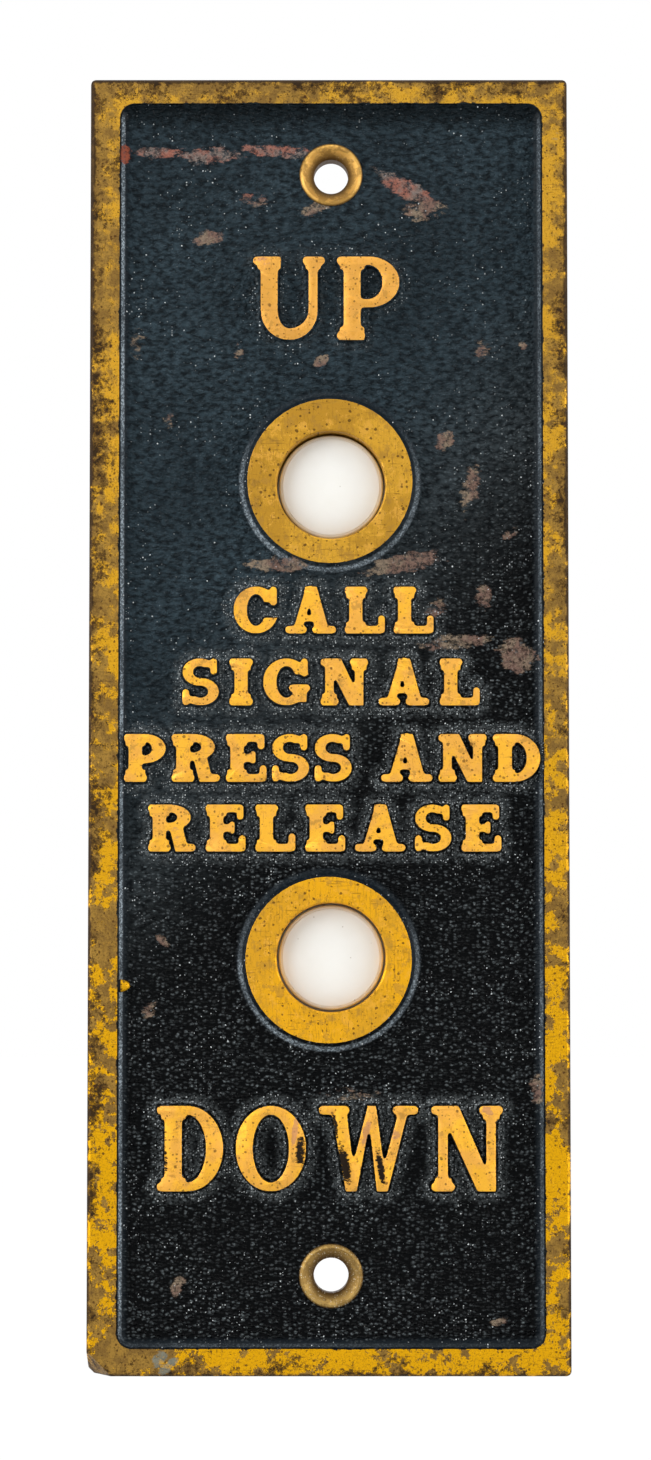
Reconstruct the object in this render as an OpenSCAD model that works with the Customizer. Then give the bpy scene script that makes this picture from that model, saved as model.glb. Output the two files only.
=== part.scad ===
// Elevator call button panel: a cast brass wall plate with an upper and a lower
// push button, and the spring contact unit that the buttons work behind it.
//
// Every module is drawn in the panel frame: X to the right, Y up and Z out of
// the wall, with the wall plane at Z = 0 and the middle of the wall screw line
// at the origin. upright() stands that frame up, with +Z up and the face to -Y.

/* [Faceplate] */
// Width of the sunk field between the side borders
field_w = 68.4; // [66:0.2:80]
// Height of the sunk field between the top and bottom borders
field_h = 200.6; // [196:0.2:230]
// Width of the left border
border_left = 4.8; // [3:0.1:8]
// Width of the right border
border_right = 4.1; // [3:0.1:8]
// Width of the top border
border_top = 4; // [3:0.1:8]
// Width of the bottom border
border_bottom = 4.4; // [3:0.1:8]
// Thickness of the casting at its border
plate_t = 6.35; // [5.5:0.05:9]
// Height of the border and the rings above the field
relief = 1.6; // [1.5:0.1:2.2]
// Radius of the cove at the foot of each raised wall
cove_r = 1.3; // [0.8:0.1:1.4]
// Corner radius of the sunk field
field_corner_r = 2.4; // [2:0.1:6]
// Corner radius of the casting's outline
outline_corner_r = 0.9; // [0.7:0.1:3]
// Chamfer on the front edge of the outline
edge_break = 0.5; // [0.2:0.1:0.6]
// Depth of the hollow in the back of the casting
hollow_depth = 1.75; // [1:0.05:2]
// Width of the rim that lies on the wall
rim_w = 6; // [4:0.5:8]

/* [Button openings] */
// Distance between the two button centres
button_pitch = 76.2; // [70:0.1:80]
// Diameter of each opening
opening_d = 17.5; // [14:0.1:20]
// Chamfer on the front edge of each opening
opening_break = 0.25; // [0.1:0.05:0.6]
// Width of the raised ring around each opening
ring_w = 4.6; // [3:0.1:6]
// How far the upper ring's centre lies to the right of its opening
up_ring_dx = -0.2; // [-0.6:0.1:0.6]
// How far the upper ring's centre lies above its opening
up_ring_dy = 0.6; // [-0.8:0.1:0.8]
// How far the lower ring's centre lies to the right of its opening
down_ring_dx = -0.4; // [-0.6:0.1:0.6]
// How far the lower ring's centre lies above its opening
down_ring_dy = -0.4; // [-0.8:0.1:0.8]
// Width of the solid boss around a cap's flange, behind the plate
boss_lip = 4.6; // [3:0.1:5]

/* [Wall screws] */
// Distance between the two wall screw holes
screw_pitch = 177.8; // [170:0.1:182]
// Diameter of each wall screw hole
screw_hole_d = 5.6; // [4:0.1:6]
// Diameter of each countersink at the crest of its rim
countersink_d = 9; // [8:0.1:11]
// Included angle of the countersink
countersink_angle = 82; // [80:1:100]
// Width of the rounded rim that stands around each countersink
screw_rim_w = 1.4; // [1.2:0.1:1.8]
// Height of that rim's crest above the field
screw_rim_h = 0.5; // [0.3:0.05:0.6]
// Diameter of the solid boss behind each wall screw hole
screw_boss_d = 15; // [13:0.5:18]

/* [Button caps] */
// Gap between a cap and its opening
cap_gap = 0.3; // [0.2:0.05:0.6]
// Depth of the cap's rim below the ring's face
cap_recess = 3.1; // [2:0.1:3.3]
// Height of the domed face above its rim
cap_dome = 0.6; // [0.3:0.1:1.2]
// Radius on the cap's front edge
cap_edge_r = 0.6; // [0.3:0.1:1]
// Width of the flange that holds the cap behind the plate
flange_lip = 1.9; // [1:0.1:3]
// Thickness of that flange
flange_t = 1.8; // [1.2:0.1:2.5]
// Travel of each button
travel = 3; // [2:0.1:3.2]

/* [Plungers] */
// Diameter of the plunger's rod
rod_d = 4; // [3.6:0.1:5]
// Diameter of the plunger's spigot in the cap
spigot_d = 6; // [5.6:0.1:8]
// Length of the spigot
spigot_len = 3; // [2:0.1:3.5]
// Diameter of the spring collar
collar_d = 12; // [11:0.1:14]
// Thickness of the spring collar
collar_t = 1; // [0.8:0.1:2]
// Diameter of the threaded tail that carries the contact disc
tail_d = 3; // [2.5:0.1:3.2]
// Length of bare tail behind its nut
tail_stub = 0.8; // [0.5:0.1:1]

/* [Return springs] */
// Mean diameter of the coil
coil_d = 8.6; // [7.4:0.1:9.2]
// Diameter of the spring wire
wire_d = 0.7; // [0.5:0.05:0.75]
// Number of turns
coil_turns = 6; // [5:0.5:6.5]

/* [Guide plate] */
// Length of the cast lugs behind the wall plane
lug_h = 12; // [11:0.5:20]
// Diameter of each lug at its tip
lug_d = 8.4; // [8:0.1:10]
// Draft added to the lug's diameter at its root
lug_draft = 1.4; // [0.4:0.1:2]
// Distance between the lugs across the panel
lug_pitch_x = 48; // [46:0.5:52]
// Distance between the lugs up the panel
lug_pitch_y = 114; // [112:0.5:120]
// Thickness of the guide plate
guide_t = 1.6; // [1.2:0.1:3]
// Margin of the guide plate and contact base beyond the lug centres
base_margin = 6; // [5.5:0.1:7]
// Corner radius of the guide plate and contact base
base_corner_r = 4; // [2:0.5:5]

/* [Guide bushes] */
// Outer diameter of the bush barrel
bush_d = 8; // [7:0.1:9]
// Diameter of the bush flange
bush_flange_d = 12; // [11:0.1:14]
// Thickness of the bush flange
bush_flange_t = 1; // [0.8:0.1:2]
// Length of barrel behind the guide plate
bush_tail = 1; // [0.6:0.1:2]

/* [Bridging contacts] */
// Gap between the bush and the moving insulator at rest
rest_gap = 0.6; // [0.4:0.1:1]
// Diameter of the insulators
insulator_d = 9; // [8:0.1:10]
// Thickness of each insulator's flange
insulator_t = 1.2; // [0.8:0.1:2]
// Diameter of the insulator's barrel through the contact disc
insulator_barrel_d = 6; // [5:0.1:7]
// Diameter of the contact disc
disc_d = 19; // [18:0.1:22]
// Thickness of the contact disc
disc_t = 1.2; // [0.8:0.1:2]
// Size across the flats of the plunger nut
tail_nut_af = 6; // [5.5:0.1:7]
// Thickness of the plunger nut
tail_nut_t = 2.4; // [1.8:0.1:2.6]

/* [Contact fingers] */
// Thickness of the finger strip
finger_t = 0.8; // [0.5:0.1:1.2]
// Width of the finger strip
finger_w = 7; // [5:0.1:9]
// Distance from a button's centre to the finger's tip
finger_reach = 5.6; // [5.2:0.1:5.8]
// Length of the finger's flat toe
toe_len = 4.6; // [4:0.1:5]
// Height of the toe above the contact base
finger_rise = 4; // [3.5:0.1:6]
// Distance from a button's centre to its terminals
terminal_x = 20; // [19:0.1:22]
// Length of the finger's foot on each side of its terminal
foot_half = 4.6; // [4:0.1:5]
// Diameter of the contact tip on each finger
tip_d = 2.6; // [2:0.1:3]
// Height of the contact tip
tip_h = 0.6; // [0.4:0.1:1]

/* [Contact base] */
// Thickness of the insulating base
board_t = 6; // [4:0.5:10]
// Shank diameter of the base screws
base_screw_d = 3.4; // [3:0.1:3.8]
// Head diameter of the base screws
base_head_d = 7; // [6:0.1:7.5]
// Head height of the base screws
base_head_h = 2.4; // [1.8:0.1:3]
// Depth of the tapped hole in each lug
tap_depth = 9; // [6:0.5:10]
// Outer diameter of the spacers and their washers
spacer_d = 8; // [7.6:0.1:9]
// Thickness of every flat washer and of the common link
washer_t = 0.8; // [0.5:0.1:1.2]

/* [Terminals] */
// Shank diameter of the terminal screws
terminal_d = 3.8; // [3:0.1:4.2]
// Head diameter of the terminal screws
terminal_head_d = 6.6; // [6:0.1:7]
// Head height of the terminal screws
terminal_head_h = 2.2; // [1.8:0.1:2.5]
// Size across the flats of the terminal nuts
terminal_nut_af = 7; // [6.5:0.1:8]
// Thickness of each terminal nut
terminal_nut_t = 2.6; // [2:0.1:3.5]
// Diameter of the terminal washers, and width of the common link
terminal_washer_d = 9; // [8.2:0.1:10]
// Length of bare screw behind the last nut
terminal_stub = 1.5; // [1:0.1:3]
// Width of the screwdriver slots
slot_w = 1; // [0.8:0.1:1.4]
// Depth of the screwdriver slots
slot_depth = 1.1; // [0.6:0.1:1.2]

/* [Fits] */
// Gap of a part that is pressed or cemented into another
fit_gap = 0.02; // [0.01:0.01:0.05]
// Running gap of a plunger in its bush
run_gap = 0.05; // [0.02:0.01:0.1]
// Gap at a stop face
seat_gap = 0.05; // [0.02:0.01:0.2]
// Gap around a screw in a plain hole
screw_gap = 0.3; // [0.2:0.05:0.5]

/* [Hidden] */
$fn = 64;

// Overlap that makes joined shapes one solid and cutters clear a face
weld = 0.2;
// How far the cove's arc runs past its wall and floor, so that it meets them at an angle
cove_bite = 0.05;
// Lengthens a cutter well past the part
clear = 1;
// Facets around the spring's wire and along one of its turns
wire_sides = 8;
turn_steps = 14;
// Facets of the whole circle that a cap's shallow dome is cut from
dome_facets = 256;

// Outline of the casting
plate_w = field_w + border_left + border_right;
plate_h = field_h + border_top + border_bottom;
plate_x = (border_right - border_left) / 2;
plate_y = (border_top - border_bottom) / 2;
field_z = plate_t - relief;

// Rows that repeat
button_ys = [-button_pitch / 2, button_pitch / 2];
screw_ys = [-screw_pitch / 2, screw_pitch / 2];
up_y = button_pitch / 2;
down_y = -button_pitch / 2;
left = -1;
right = 1;

// Diameters that follow an opening
ring_d = opening_d + 2 * ring_w;
cap_d = opening_d - 2 * cap_gap;
flange_d = opening_d + 2 * flange_lip;
opening_boss_d = flange_d + 2 * boss_lip;

// Diameters of plain holes around screws
base_screw_hole_d = base_screw_d + 2 * screw_gap;
terminal_hole_d = terminal_d + 2 * screw_gap;

// Depths of the moving stack at rest, from the cap to the end of the plunger
cap_rim_z = plate_t - cap_recess;
flange_front_z = -seat_gap;
cap_back_z = flange_front_z - flange_t;
collar_back_z = cap_back_z - collar_t;
guide_front_z = -lug_h;
guide_back_z = guide_front_z - guide_t;
bush_front_z = guide_front_z + bush_flange_t;
bush_back_z = guide_back_z - bush_tail;
insulator_z = bush_back_z - rest_gap;
disc_front_z = insulator_z - insulator_t;
disc_back_z = disc_front_z - disc_t;
tail_nut_z = disc_back_z - insulator_t;
plunger_end_z = tail_nut_z - tail_nut_t - tail_stub;

// Depths of the fixed contacts, set so that a full press just closes them
tip_z = disc_back_z - travel - seat_gap;
toe_front_z = tip_z - tip_h;
toe_back_z = toe_front_z - finger_t;
board_front_z = toe_back_z - finger_rise;
board_back_z = board_front_z - board_t;
foot_front_z = board_front_z + finger_t;
washer_back_z = board_back_z - washer_t;

// Outlines of the guide plate and the contact base
base_w = lug_pitch_x + 2 * base_margin;
base_h = lug_pitch_y + 2 * base_margin;

// Colours
brass = "#c4943a";
bright_brass = "#d8b25a";
bronze = "#b9773d";
copper = "#c06a3c";
silver = "#c9ccd0";
steel = "#8f9398";
porcelain = "#f4f2ea";
red_fibre = "#7c2f24";
ebonite = "#26282b";

// Stands the panel frame up
module upright() rotate([90, 0, 0]) children();

// Copies a shape to the four lug positions
module at_lugs() {
    for (x = [-1, 1], y = [-1, 1])
        translate([x * lug_pitch_x / 2, y * lug_pitch_y / 2, 0]) children();
}

// Copies a shape to the four terminal positions
module at_terminals() {
    for (x = [left, right], y = button_ys)
        translate([x * terminal_x, y, 0]) children();
}

// Rectangle about the origin with round corners
module rounded_rect(w, h, r) {
    square([w - 2 * r, h], center = true);
    square([w, h - 2 * r], center = true);
    for (x = [-1, 1], y = [-1, 1])
        translate([x * (w / 2 - r), y * (h / 2 - r)]) circle(r);
}

// Cylinder that runs from depth z0 back to depth z1
module shaft(d, z0, z1) translate([0, 0, z1]) cylinder(d = d, h = z0 - z1);

// Tube that runs from depth z0 back to depth z1
module tube(d, bore, z0, z1) {
    difference() {
        shaft(d, z0, z1);
        shaft(bore, z0 + clear, z1 - clear);
    }
}

// Hexagon nut that runs from depth z0 back to depth z1
module hex_nut(af, bore, z0, z1) {
    difference() {
        translate([0, 0, z1]) cylinder(d = af / cos(30), h = z0 - z1, $fn = 6);
        shaft(bore, z0 + clear, z1 - clear);
    }
}

// Slotted cheese head screw along Z: its head sits at the origin and its shank runs down
module slotted_screw(head_d, head_h, shank_d, shank_len) {
    difference() {
        cylinder(d = head_d, h = head_h);
        translate([-head_d, -slot_w / 2, head_h - slot_depth]) cube([2 * head_d, slot_w, slot_depth + clear]);
    }
    translate([0, 0, -shank_len]) cylinder(d = shank_d, h = shank_len + weld);
}

// Cove at the foot of a wall that stands at x = 0 on a floor at y = 0
module cove_profile() {
    difference() {
        translate([-weld, -weld]) square(cove_r + weld - cove_bite);
        translate([cove_r - cove_bite, cove_r - cove_bite]) circle(cove_r);
    }
}

// Cove along the four walls of the sunk field
module field_cove() {
    straight_w = field_w - 2 * field_corner_r;
    straight_h = field_h - 2 * field_corner_r;
    for (turn = [0, 180]) rotate(turn) {
        translate([-field_w / 2, straight_h / 2, 0]) rotate([90, 0, 0]) linear_extrude(straight_h) cove_profile();
        translate([-straight_w / 2, -field_h / 2, 0]) rotate([90, 0, 90]) linear_extrude(straight_w) cove_profile();
        for (corner = [[-1, -1, 180], [1, -1, 270]])
            translate([corner.x * straight_w / 2, corner.y * straight_h / 2, 0]) rotate(corner.z)
                rotate_extrude(angle = 90) translate([field_corner_r, 0]) mirror([1, 0]) cove_profile();
    }
}

// Raised ring around an opening, with the cove at its foot
module raised_ring() {
    rotate_extrude() {
        translate([0, -weld]) square([ring_d / 2, relief + weld]);
        translate([ring_d / 2, 0]) cove_profile();
    }
}

// Triangular prisms that break the front edges of the outline
module outline_break() {
    for (side = [[0, plate_w, plate_h], [90, plate_h, plate_w], [180, plate_w, plate_h], [270, plate_h, plate_w]])
        rotate(side.x) translate([-side.y / 2 - clear, side.z / 2, plate_t]) rotate([90, 0, 90])
            linear_extrude(side.y + 2 * clear)
                polygon([[weld, weld], [weld, -edge_break - weld], [-edge_break - weld, weld]]);
}

// Rounded rim that stands on the field around a wall screw hole
module screw_rim() {
    rotate_extrude() translate([countersink_d / 2, screw_rim_h - screw_rim_w / 2]) circle(d = screw_rim_w);
}

// Countersunk wall screw hole, whose cone runs out at the crest of the rim
module wall_screw_hole() {
    cone_slope = tan(countersink_angle / 2);
    cone_h = (countersink_d - screw_hole_d) / 2 / cone_slope;
    shaft(screw_hole_d, plate_t + clear, -clear);
    translate([0, 0, field_z + screw_rim_h - cone_h])
        cylinder(d1 = screw_hole_d, d2 = countersink_d + 2 * clear * cone_slope, h = cone_h + clear);
}

// Opening for a button, with its front edge broken
module button_opening() {
    shaft(opening_d, plate_t + clear, -clear);
    translate([0, 0, plate_t - opening_break])
        cylinder(d1 = opening_d, d2 = opening_d + 2 * opening_break, h = opening_break);
}

// Outline of the hollow in the back, around the bosses that stay solid
module hollow_outline() {
    difference() {
        translate([plate_x, plate_y]) rounded_rect(plate_w - 2 * rim_w, plate_h - 2 * rim_w, field_corner_r);
        for (y = button_ys) translate([0, y]) circle(d = opening_boss_d);
        for (y = screw_ys) translate([0, y]) circle(d = screw_boss_d);
    }
}

// Cast lug behind the plate, with draft towards its root
module cast_lug() {
    translate([0, 0, guide_front_z])
        cylinder(d1 = lug_d, d2 = lug_d + lug_draft, h = lug_h + hollow_depth + weld);
}

module faceplate() {
    color(brass) difference() {
        union() {
            difference() {
                translate([plate_x, plate_y, 0])
                    linear_extrude(plate_t) rounded_rect(plate_w, plate_h, outline_corner_r);
                translate([plate_x, plate_y, 0]) outline_break();
                translate([0, 0, field_z])
                    linear_extrude(relief + clear) rounded_rect(field_w, field_h, field_corner_r);
                translate([0, 0, -clear]) linear_extrude(hollow_depth + clear) hollow_outline();
            }
            translate([0, 0, field_z]) field_cove();
            translate([up_ring_dx, up_y + up_ring_dy, field_z]) raised_ring();
            translate([down_ring_dx, down_y + down_ring_dy, field_z]) raised_ring();
            for (y = screw_ys) translate([0, y, field_z]) screw_rim();
            at_lugs() cast_lug();
        }
        for (y = button_ys) translate([0, y, 0]) button_opening();
        for (y = screw_ys) translate([0, y, 0]) wall_screw_hole();
        at_lugs() shaft(base_screw_d + 2 * fit_gap, guide_front_z + tap_depth, guide_front_z - clear);
    }
}

// Flat plate on the lugs that carries both guide bushes
module guide_plate() {
    color(bright_brass) translate([0, 0, guide_back_z]) linear_extrude(guide_t) difference() {
        rounded_rect(base_w, base_h, base_corner_r);
        for (y = button_ys) translate([0, y]) circle(d = bush_d + 2 * fit_gap);
        at_lugs() circle(d = base_screw_hole_d);
    }
}

// Flanged bush that guides a plunger
module guide_bush(y) {
    color(brass) translate([0, y, 0]) difference() {
        union() {
            shaft(bush_flange_d, bush_front_z, guide_front_z);
            shaft(bush_d, bush_front_z, bush_back_z);
        }
        shaft(rod_d + 2 * run_gap, bush_front_z + clear, bush_back_z - clear);
    }
}

// Tubes that hold the contact base off the guide plate
module rear_spacers() {
    color(brass) at_lugs() tube(spacer_d, base_screw_hole_d, guide_back_z, board_front_z);
}

// Insulating base that carries the contact fingers and terminals
module contact_base() {
    color(red_fibre) translate([0, 0, board_back_z]) linear_extrude(board_t) difference() {
        rounded_rect(base_w, base_h, base_corner_r);
        at_lugs() circle(d = base_screw_hole_d);
        at_terminals() circle(d = terminal_hole_d);
    }
}

module base_washers() {
    color(steel) at_lugs() tube(spacer_d, base_screw_hole_d, board_back_z, washer_back_z);
}

// Long screws from behind, through the contact base and spacers into the lugs
module base_screws() {
    shank_len = guide_front_z + tap_depth - weld - washer_back_z;
    color(steel) at_lugs() translate([0, 0, washer_back_z]) rotate([180, 0, 0])
        slotted_screw(base_head_d, base_head_h, base_screw_d, shank_len);
}

// Bent strip from a terminal to just behind the contact disc, on one side of a button
module contact_finger(side, y) {
    foot_out = terminal_x + foot_half;
    foot_in = terminal_x - foot_half;
    toe_out = finger_reach + toe_len;
    color(bronze) translate([0, y, 0]) difference() {
        rotate([90, 0, 0]) translate([0, 0, -finger_w / 2]) linear_extrude(finger_w) scale([side, 1])
            polygon([
                [foot_out, board_front_z], [foot_out, foot_front_z], [foot_in, foot_front_z],
                [toe_out, toe_front_z], [finger_reach, toe_front_z], [finger_reach, toe_back_z],
                [toe_out - finger_t, toe_back_z], [foot_in - finger_t, board_front_z]
            ]);
        translate([side * terminal_x, 0, 0]) shaft(terminal_hole_d, foot_front_z + clear, board_front_z - clear);
    }
}

// Silver tips on the fingers, where the disc meets them
module contact_tips() {
    tip_x = (finger_reach + disc_d / 2) / 2;
    color(silver) for (x = [left, right], y = button_ys)
        translate([x * tip_x, y, 0]) shaft(tip_d, tip_z, toe_front_z);
}

module terminal_screws() {
    last_nut_z = washer_back_z - 2 * terminal_nut_t - washer_t;
    color(bright_brass) at_terminals() translate([0, 0, foot_front_z])
        slotted_screw(terminal_head_d, terminal_head_h, terminal_d, foot_front_z - last_nut_z + terminal_stub);
}

// One washer under each right-hand nut, and one between the two nuts of every terminal
module terminal_washers() {
    second_z = washer_back_z - terminal_nut_t;
    color(bright_brass) {
        for (y = button_ys) translate([right * terminal_x, y, 0])
            tube(terminal_washer_d, terminal_hole_d, board_back_z, washer_back_z);
        at_terminals() tube(terminal_washer_d, terminal_hole_d, second_z, second_z - washer_t);
    }
}

// Two nuts on each terminal: one clamps the finger and one clamps a wire
module terminal_nuts() {
    second_z = washer_back_z - terminal_nut_t - washer_t;
    color(brass) at_terminals() for (z = [washer_back_z, second_z])
        hex_nut(terminal_nut_af, terminal_d + 2 * fit_gap, z, z - terminal_nut_t);
}

// Strap that joins the two left-hand terminals to the common feed
module common_link() {
    color(copper) translate([left * terminal_x, 0, washer_back_z]) linear_extrude(washer_t) difference() {
        union() {
            square([terminal_washer_d, button_pitch], center = true);
            for (y = button_ys) translate([0, y]) circle(d = terminal_washer_d);
        }
        for (y = button_ys) translate([0, y]) circle(d = terminal_hole_d);
    }
}

// Domed cap with the flange that holds it behind the plate
module button_cap(y) {
    cap_r = cap_d / 2;
    dome_r = (cap_r * cap_r + cap_dome * cap_dome) / (2 * cap_dome);
    color(porcelain) translate([0, y, 0]) difference() {
        rotate_extrude() intersection() {
            union() {
                translate([0, cap_back_z]) square([flange_d / 2, flange_t]);
                translate([0, cap_back_z]) square([cap_r, cap_rim_z - cap_edge_r - cap_back_z]);
                translate([0, cap_back_z]) square([cap_r - cap_edge_r, cap_rim_z + cap_dome - cap_back_z]);
                translate([cap_r - cap_edge_r, cap_rim_z - cap_edge_r]) circle(cap_edge_r);
            }
            translate([0, cap_rim_z + cap_dome - dome_r]) intersection() {
                circle(dome_r, $fn = dome_facets);
                translate([0, -dome_r]) square([dome_r, 2 * dome_r]);
            }
        }
        shaft(spigot_d + 2 * fit_gap, cap_back_z + spigot_len, cap_back_z - clear);
    }
}

// Turned plunger: spigot in the cap, spring collar, guided rod and threaded tail
module plunger(y) {
    color(bright_brass) translate([0, y, 0]) rotate_extrude() polygon([
        [0, cap_back_z + spigot_len], [spigot_d / 2, cap_back_z + spigot_len], [spigot_d / 2, cap_back_z],
        [collar_d / 2, cap_back_z], [collar_d / 2, collar_back_z], [rod_d / 2, collar_back_z],
        [rod_d / 2, insulator_z], [tail_d / 2, insulator_z], [tail_d / 2, plunger_end_z], [0, plunger_end_z]
    ]);
}

// Flanged insulator between the plunger and the contact disc
module insulating_bush(y) {
    color(ebonite) translate([0, y, 0]) difference() {
        union() {
            shaft(insulator_d, insulator_z, disc_front_z);
            shaft(insulator_barrel_d, insulator_z, disc_back_z);
        }
        shaft(tail_d + 2 * fit_gap, insulator_z + clear, disc_back_z - clear);
    }
}

// Disc that bridges the two fingers when the button is pressed
module contact_disc(y) {
    color(copper) translate([0, y, 0])
        tube(disc_d, insulator_barrel_d + 2 * fit_gap, disc_front_z, disc_back_z);
}

module insulating_washer(y) {
    color(ebonite) translate([0, y, 0]) tube(insulator_d, tail_d + 2 * fit_gap, disc_back_z, tail_nut_z);
}

module plunger_nut(y) {
    color(brass) translate([0, y, 0])
        hex_nut(tail_nut_af, tail_d + 2 * fit_gap, tail_nut_z, tail_nut_z - tail_nut_t);
}

// Height of the wire's centre at a share u of the coil, with one closed turn at each end
function coil_height(u, length) =
    let (turn = u * coil_turns, open_pitch = (length - 3 * wire_d) / (coil_turns - 2))
    wire_d / 2 + (
        turn < 1 ? turn * wire_d
        : turn > coil_turns - 1 ? length - wire_d - (coil_turns - turn) * wire_d
        : wire_d + (turn - 1) * open_pitch
    );

// Compression spring between the plunger's collar and the bush flange
module return_spring(y) {
    sides = wire_sides;
    steps = round(turn_steps * coil_turns);
    length = collar_back_z - bush_front_z - 2 * seat_gap;
    points = [
        for (step = [0 : steps])
            let (u = step / steps, around = 360 * coil_turns * u, height = coil_height(u, length))
            for (k = [0 : sides - 1])
                let (a = 360 * k / sides, r = coil_d / 2 + wire_d / 2 * cos(a))
                [r * cos(around), r * sin(around), height + wire_d / 2 * sin(a)]
    ];
    walls = [
        for (step = [0 : steps - 1], k = [0 : sides - 1], half = [0, 1])
            let (a = step * sides + k, b = step * sides + (k + 1) % sides)
            half == 0 ? [a, b, b + sides] : [a, b + sides, a + sides]
    ];
    start_cap = [for (k = [sides - 1 : -1 : 0]) k];
    end_cap = [for (k = [0 : sides - 1]) steps * sides + k];
    color(steel) translate([0, y, bush_front_z + seat_gap])
        polyhedron(points, concat(walls, [start_cap, end_cap]), convexity = 8);
}

upright() faceplate();
upright() guide_plate();
upright() guide_bush(up_y);  // up_guide_bush
upright() guide_bush(down_y);  // down_guide_bush
upright() rear_spacers();
upright() contact_base();
upright() base_washers();
upright() base_screws();
upright() contact_finger(left, up_y);  // up_finger_left
upright() contact_finger(right, up_y);  // up_finger_right
upright() contact_finger(left, down_y);  // down_finger_left
upright() contact_finger(right, down_y);  // down_finger_right
upright() contact_tips();
upright() terminal_screws();
upright() terminal_washers();
upright() terminal_nuts();
upright() common_link();
upright() button_cap(up_y);  // up_button_cap
upright() plunger(up_y);  // up_plunger
upright() insulating_bush(up_y);  // up_insulating_bush
upright() contact_disc(up_y);  // up_contact_disc
upright() insulating_washer(up_y);  // up_insulating_washer
upright() plunger_nut(up_y);  // up_plunger_nut
upright() return_spring(up_y);  // up_return_spring
upright() button_cap(down_y);  // down_button_cap
upright() plunger(down_y);  // down_plunger
upright() insulating_bush(down_y);  // down_insulating_bush
upright() contact_disc(down_y);  // down_contact_disc
upright() insulating_washer(down_y);  // down_insulating_washer
upright() plunger_nut(down_y);  // down_plunger_nut
upright() return_spring(down_y);  // down_return_spring
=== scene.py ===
"""Elevator call button panel: the finish of the cast plate, its letters, buttons and contact unit."""

import math
from collections import namedtuple

import bpy
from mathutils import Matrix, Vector, kdtree


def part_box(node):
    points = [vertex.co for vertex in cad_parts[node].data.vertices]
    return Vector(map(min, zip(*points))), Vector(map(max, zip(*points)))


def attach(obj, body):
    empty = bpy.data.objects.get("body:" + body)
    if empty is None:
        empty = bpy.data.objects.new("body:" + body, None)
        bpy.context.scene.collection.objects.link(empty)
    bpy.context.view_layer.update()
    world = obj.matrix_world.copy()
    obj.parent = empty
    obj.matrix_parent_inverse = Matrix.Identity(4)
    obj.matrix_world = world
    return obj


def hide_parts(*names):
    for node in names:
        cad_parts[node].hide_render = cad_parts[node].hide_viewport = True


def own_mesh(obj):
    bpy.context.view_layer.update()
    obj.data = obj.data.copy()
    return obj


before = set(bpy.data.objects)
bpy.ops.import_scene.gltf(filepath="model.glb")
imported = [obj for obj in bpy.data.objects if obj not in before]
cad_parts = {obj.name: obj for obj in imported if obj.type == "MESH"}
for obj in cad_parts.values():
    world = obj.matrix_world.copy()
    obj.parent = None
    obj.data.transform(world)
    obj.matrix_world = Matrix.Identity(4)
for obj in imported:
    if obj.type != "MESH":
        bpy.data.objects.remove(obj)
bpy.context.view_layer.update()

# Sizes of the plate, in metres
MM = 0.001
PLATE_LOW, PLATE_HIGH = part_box("faceplate")
PLATE_CORNER_R = 0.9 * MM
FRONT_Y = PLATE_LOW.y
RELIEF = 1.6 * MM
FIELD_Y = FRONT_Y + RELIEF
FIELD_W, FIELD_H = 68.4 * MM, 200.6 * MM
FIELD_CORNER_R = 2.4 * MM
RING_R = 13.35 * MM
UP_Z = (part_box("up_button_cap")[0].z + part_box("up_button_cap")[1].z) / 2
DOWN_Z = (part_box("down_button_cap")[0].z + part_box("down_button_cap")[1].z) / 2
RING_CENTRES = ((-0.2 * MM, UP_Z + 0.6 * MM), (-0.4 * MM, DOWN_Z - 0.4 * MM))
SCREW_Z = 88.9 * MM
SCREW_HOLE_R, SCREW_RIM_R = 2.8 * MM, 5.2 * MM

# Places along the axis of a button
SPRING_FRONT_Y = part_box("up_return_spring")[0].y
SPRING_BACK_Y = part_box("up_return_spring")[1].y


# Small tools for modelling

def deselect():
    bpy.ops.object.select_all(action="DESELECT")


def select_mesh():
    bpy.ops.mesh.select_all(action="SELECT")


def object_mode():
    bpy.ops.object.mode_set(mode="OBJECT")


def apply_place():
    """Moves the place, turn and scale of what is selected into its mesh."""
    bpy.ops.object.transform_apply(location=True, rotation=True, scale=True)


def named(piece, name):
    piece.name = name
    piece.data.name = name
    return piece


def make_active(piece):
    deselect()
    piece.select_set(True)
    bpy.context.view_layer.objects.active = piece


def empty_mesh(name):
    """A new mesh with nothing in it, at the origin, in edit mode."""
    deselect()
    bpy.ops.object.add(type="MESH", enter_editmode=True)
    return named(bpy.context.object, name)


def edit(piece, everything=True):
    make_active(piece)
    bpy.ops.object.mode_set(mode="EDIT")
    bpy.ops.mesh.select_mode(type="VERT")
    if everything:
        select_mesh()


def pick_points(piece, test):
    """Selects, for the next time in edit mode, the points that pass a test on their place."""
    mesh = piece.data
    mesh.polygons.foreach_set("select", [False] * len(mesh.polygons))
    mesh.edges.foreach_set("select", [False] * len(mesh.edges))
    mesh.vertices.foreach_set("select", [bool(test(v.co)) for v in mesh.vertices])


def cut_off(at, towards, threshold):
    """Cuts off what lies past a plane, and closes the cut."""
    select_mesh()
    bpy.ops.mesh.bisect(plane_co=at, plane_no=towards, use_fill=True, clear_outer=True, threshold=threshold)


def modify(piece, kind, **settings):
    """Adds a modifier with these settings and applies it."""
    make_active(piece)
    added = piece.modifiers.new(kind.title(), kind)
    for key, value in settings.items():
        setattr(added, key, value)
    bpy.ops.object.modifier_apply(modifier=added.name)


def break_edges(piece, width, degrees, **settings):
    """Rounds the edges that are sharper than an angle."""
    modify(piece, "BEVEL", width=width, segments=2, limit_method="ANGLE", angle_limit=math.radians(degrees),
           use_clamp_overlap=True, **settings)


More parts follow.
